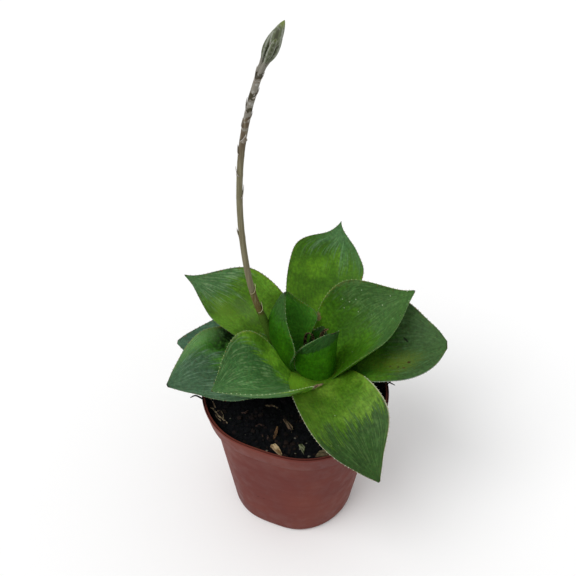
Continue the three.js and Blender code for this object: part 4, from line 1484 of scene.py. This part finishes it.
def root_finish(name, light, dark):
    material, tree, shader = new_finish(name, Roughness=0.75, Specular_IOR_Level=0.2)
    spots = grain(tree, object_place(tree), 1400.0, 3.0)
    shade = mix(tree, ramp(tree, spots, 0.4, 0.62), colour(dark), colour(light))
    cover(tree, shader, shade, spots, 0.5, 0.0003)
    return material


roots = [make_strand("root", smooth_line(on_the_soil(places, 0.2), 36), tapered(radius, 0.6), 8)
         for places, radius in ROOTS]
finish_piece(join_pieces("pale_roots", roots), root_finish("dry_root", "8a7a62", "463627"), "husk")
bits = [make_strand("bit", smooth_line(on_the_soil(places, 0.2), 12), tapered(radius), 8)
        for places, radius in BARK_BITS]
finish_piece(join_pieces("bark_bits", bits), root_finish("dull_bark", "43302a", "191312"), "bark")
shreds = [make_strand("shred", smooth_line(places, 24), tapered(radius, 0.3), 8) for places, radius in SHREDS]
finish_piece(join_pieces("peat_shreds", shreds), root_finish("dark_peat", "1b1512", "070606"), "soil")

# %% [markdown]
# ## The crown
# The leaves all grow from a short stem that stands in the soil. It is a cylinder, drawn in at each of
# the scars that old leaves have left, and covered with their dry brown skin.

# %% The crown
CROWN = dict(x=6, y=4, radius=3.4, foot=44, top=58.5)
SCARS = 9
# From one scar to the next: the share of the rise, and how much wider or narrower each ring gets.
SCAR_RINGS = ((0.25, 1.22), (0.5, 1.0), (0.25, 0.82))


def make_crown():
    clear_selection()
    x, y, foot = CROWN["x"] * MM, CROWN["y"] * MM, CROWN["foot"] * MM
    bpy.ops.mesh.primitive_circle_add(
        vertices=40, radius=CROWN["radius"] * 0.8 * MM, fill_type="NGON", location=(x, y, foot))
    crown = new_piece("crown_stem")
    edit_mode(True)
    bpy.ops.mesh.select_all(action="SELECT")
    rise = (CROWN["top"] - CROWN["foot"]) / SCARS
    for _ in range(SCARS):
        for share, size in SCAR_RINGS:
            bpy.ops.mesh.extrude_region_move(TRANSFORM_OT_translate={"value": (0, 0, rise * share * MM)})
            bpy.ops.transform.resize(value=(size, size, 1), center_override=(x, y, 0))
    edit_mode(False)
    outwards(crown)
    bpy.ops.object.shade_smooth()
    return crown


finish_piece(make_crown(), root_finish("old_stem", "5f5138", "33291b"), "crown", "crown")

# %% [markdown]
# ## Dry husks
# Old leaves leave strips of dry skin in the heart of the rosette and where two leaves meet, and darker
# curled scraps of it stand up in the heart. A strip or a scrap is a grid laid along a line, hollow
# across, crumpled a little and given the thickness of paper.

# %% Dry husks
HUSKS = {
    "husk_front": dict(
        line=[(3.4, -14.8, 67.7), (6.2, -12.2, 66.6), (8.9, -9.5, 65.1)],
        width=1.0, hollow=-0.3, face=(0, -0.3, 1)),
    "husk_heart": dict(
        line=[(4.6, 12, 60), (5.0, 10.4, 64), (4.8, 9.5, 68)],
        width=2.0, hollow=0.6, face=(0, -1, 0.3)),
}
SCRAPS = [
    dict(line=[(3.9, 5.4, 64.0), (3.0, 4.9, 70.0), (3.5, 4.1, 74.3), (4.4, 3.4, 75.2)],
         width=1.1, hollow=0.9, face=(0, -1, 0.4), crumple=0.5),
    dict(line=[(5.2, 5.2, 64.5), (5.6, 4.8, 70.5), (5.3, 4.0, 73.8), (4.6, 3.3, 75.1)],
         width=1.0, hollow=0.9, face=(0.3, -1, 0.4), crumple=0.5),
    dict(line=[(8.2, 6.8, 69.0), (8.7, 5.9, 72.8), (9.6, 5.3, 75.0), (10.6, 4.9, 75.8)],
         width=1.1, hollow=0.8, face=(0, -1, 0.6), crumple=0.5),
    dict(line=[(8.0, 6.2, 69.0), (8.2, 5.6, 73.0), (8.9, 5.2, 74.6)],
         width=0.8, hollow=0.8, face=(0.4, -1, 0.3), crumple=0.4),
]
HUSK_STEPS = 24
HUSK_THICK = 0.14


def make_husk(name, line, width, hollow, face, crumple=0.3):
    clear_selection()
    bpy.ops.mesh.primitive_grid_add(x_subdivisions=HUSK_STEPS, y_subdivisions=8, size=2)
    husk = new_piece(name)
    spots = smooth_line(line, HUSK_STEPS)
    for point in husk.data.vertices:
        along, across = (point.co.x + 1) / 2, point.co.y
        at = min(HUSK_STEPS - 1, int(along * HUSK_STEPS))
        spot = spots[at].lerp(spots[at + 1], along * HUSK_STEPS - at)
        ahead = (spots[at + 1] - spots[at]).normalized()
        side = ahead.cross(Vector(face)).normalized()
        up = side.cross(ahead)
        half = width / 2 * (0.25 + 0.75 * math.sin(math.pi * along) ** 0.6)
        rumpled = noise.noise(spot * 1.3 + side * across * 2) * crumple
        point.co = (spot + side * half * across + up * (hollow * half * across ** 2 + rumpled)) * MM
    apply_modifier(husk, "paper", "SOLIDIFY", thickness=HUSK_THICK * MM, offset=0)
    bpy.ops.object.shade_smooth_by_angle(angle=math.radians(60))
    return husk


def husk_finish(name, light, dark, bleached):
    material, tree, shader = new_finish(name, Roughness=0.75, Specular_IOR_Level=0.25)
    place = object_place(tree)
    spots, streaks = grain(tree, place, 700.0, 3.0), grain(tree, place, 2200.0, 2.0)
    shade = mix(tree, ramp(tree, spots, 0.4, 0.6), colour(dark), colour(light))
    shade = mix(tree, ramp(tree, streaks, 0.52, 0.66, 0, 0.7), shade, colour(bleached))
    cover(tree, shader, shade, spots, 0.5, 0.0003)
    return material


DRY_HUSK = husk_finish("dry_husk", "93815f", "4f3b2c", "bbac8b")
DARK_HUSK = husk_finish("dark_husk", "6f5c3c", "20140c", "a3966f")
for name, husk in HUSKS.items():
    finish_piece(make_husk(name + "_strip", **husk), DRY_HUSK, "husk", name)
scraps = [make_husk("scrap", **scrap) for scrap in SCRAPS]
finish_piece(join_pieces("heart_scraps", scraps), DARK_HUSK, "husk")
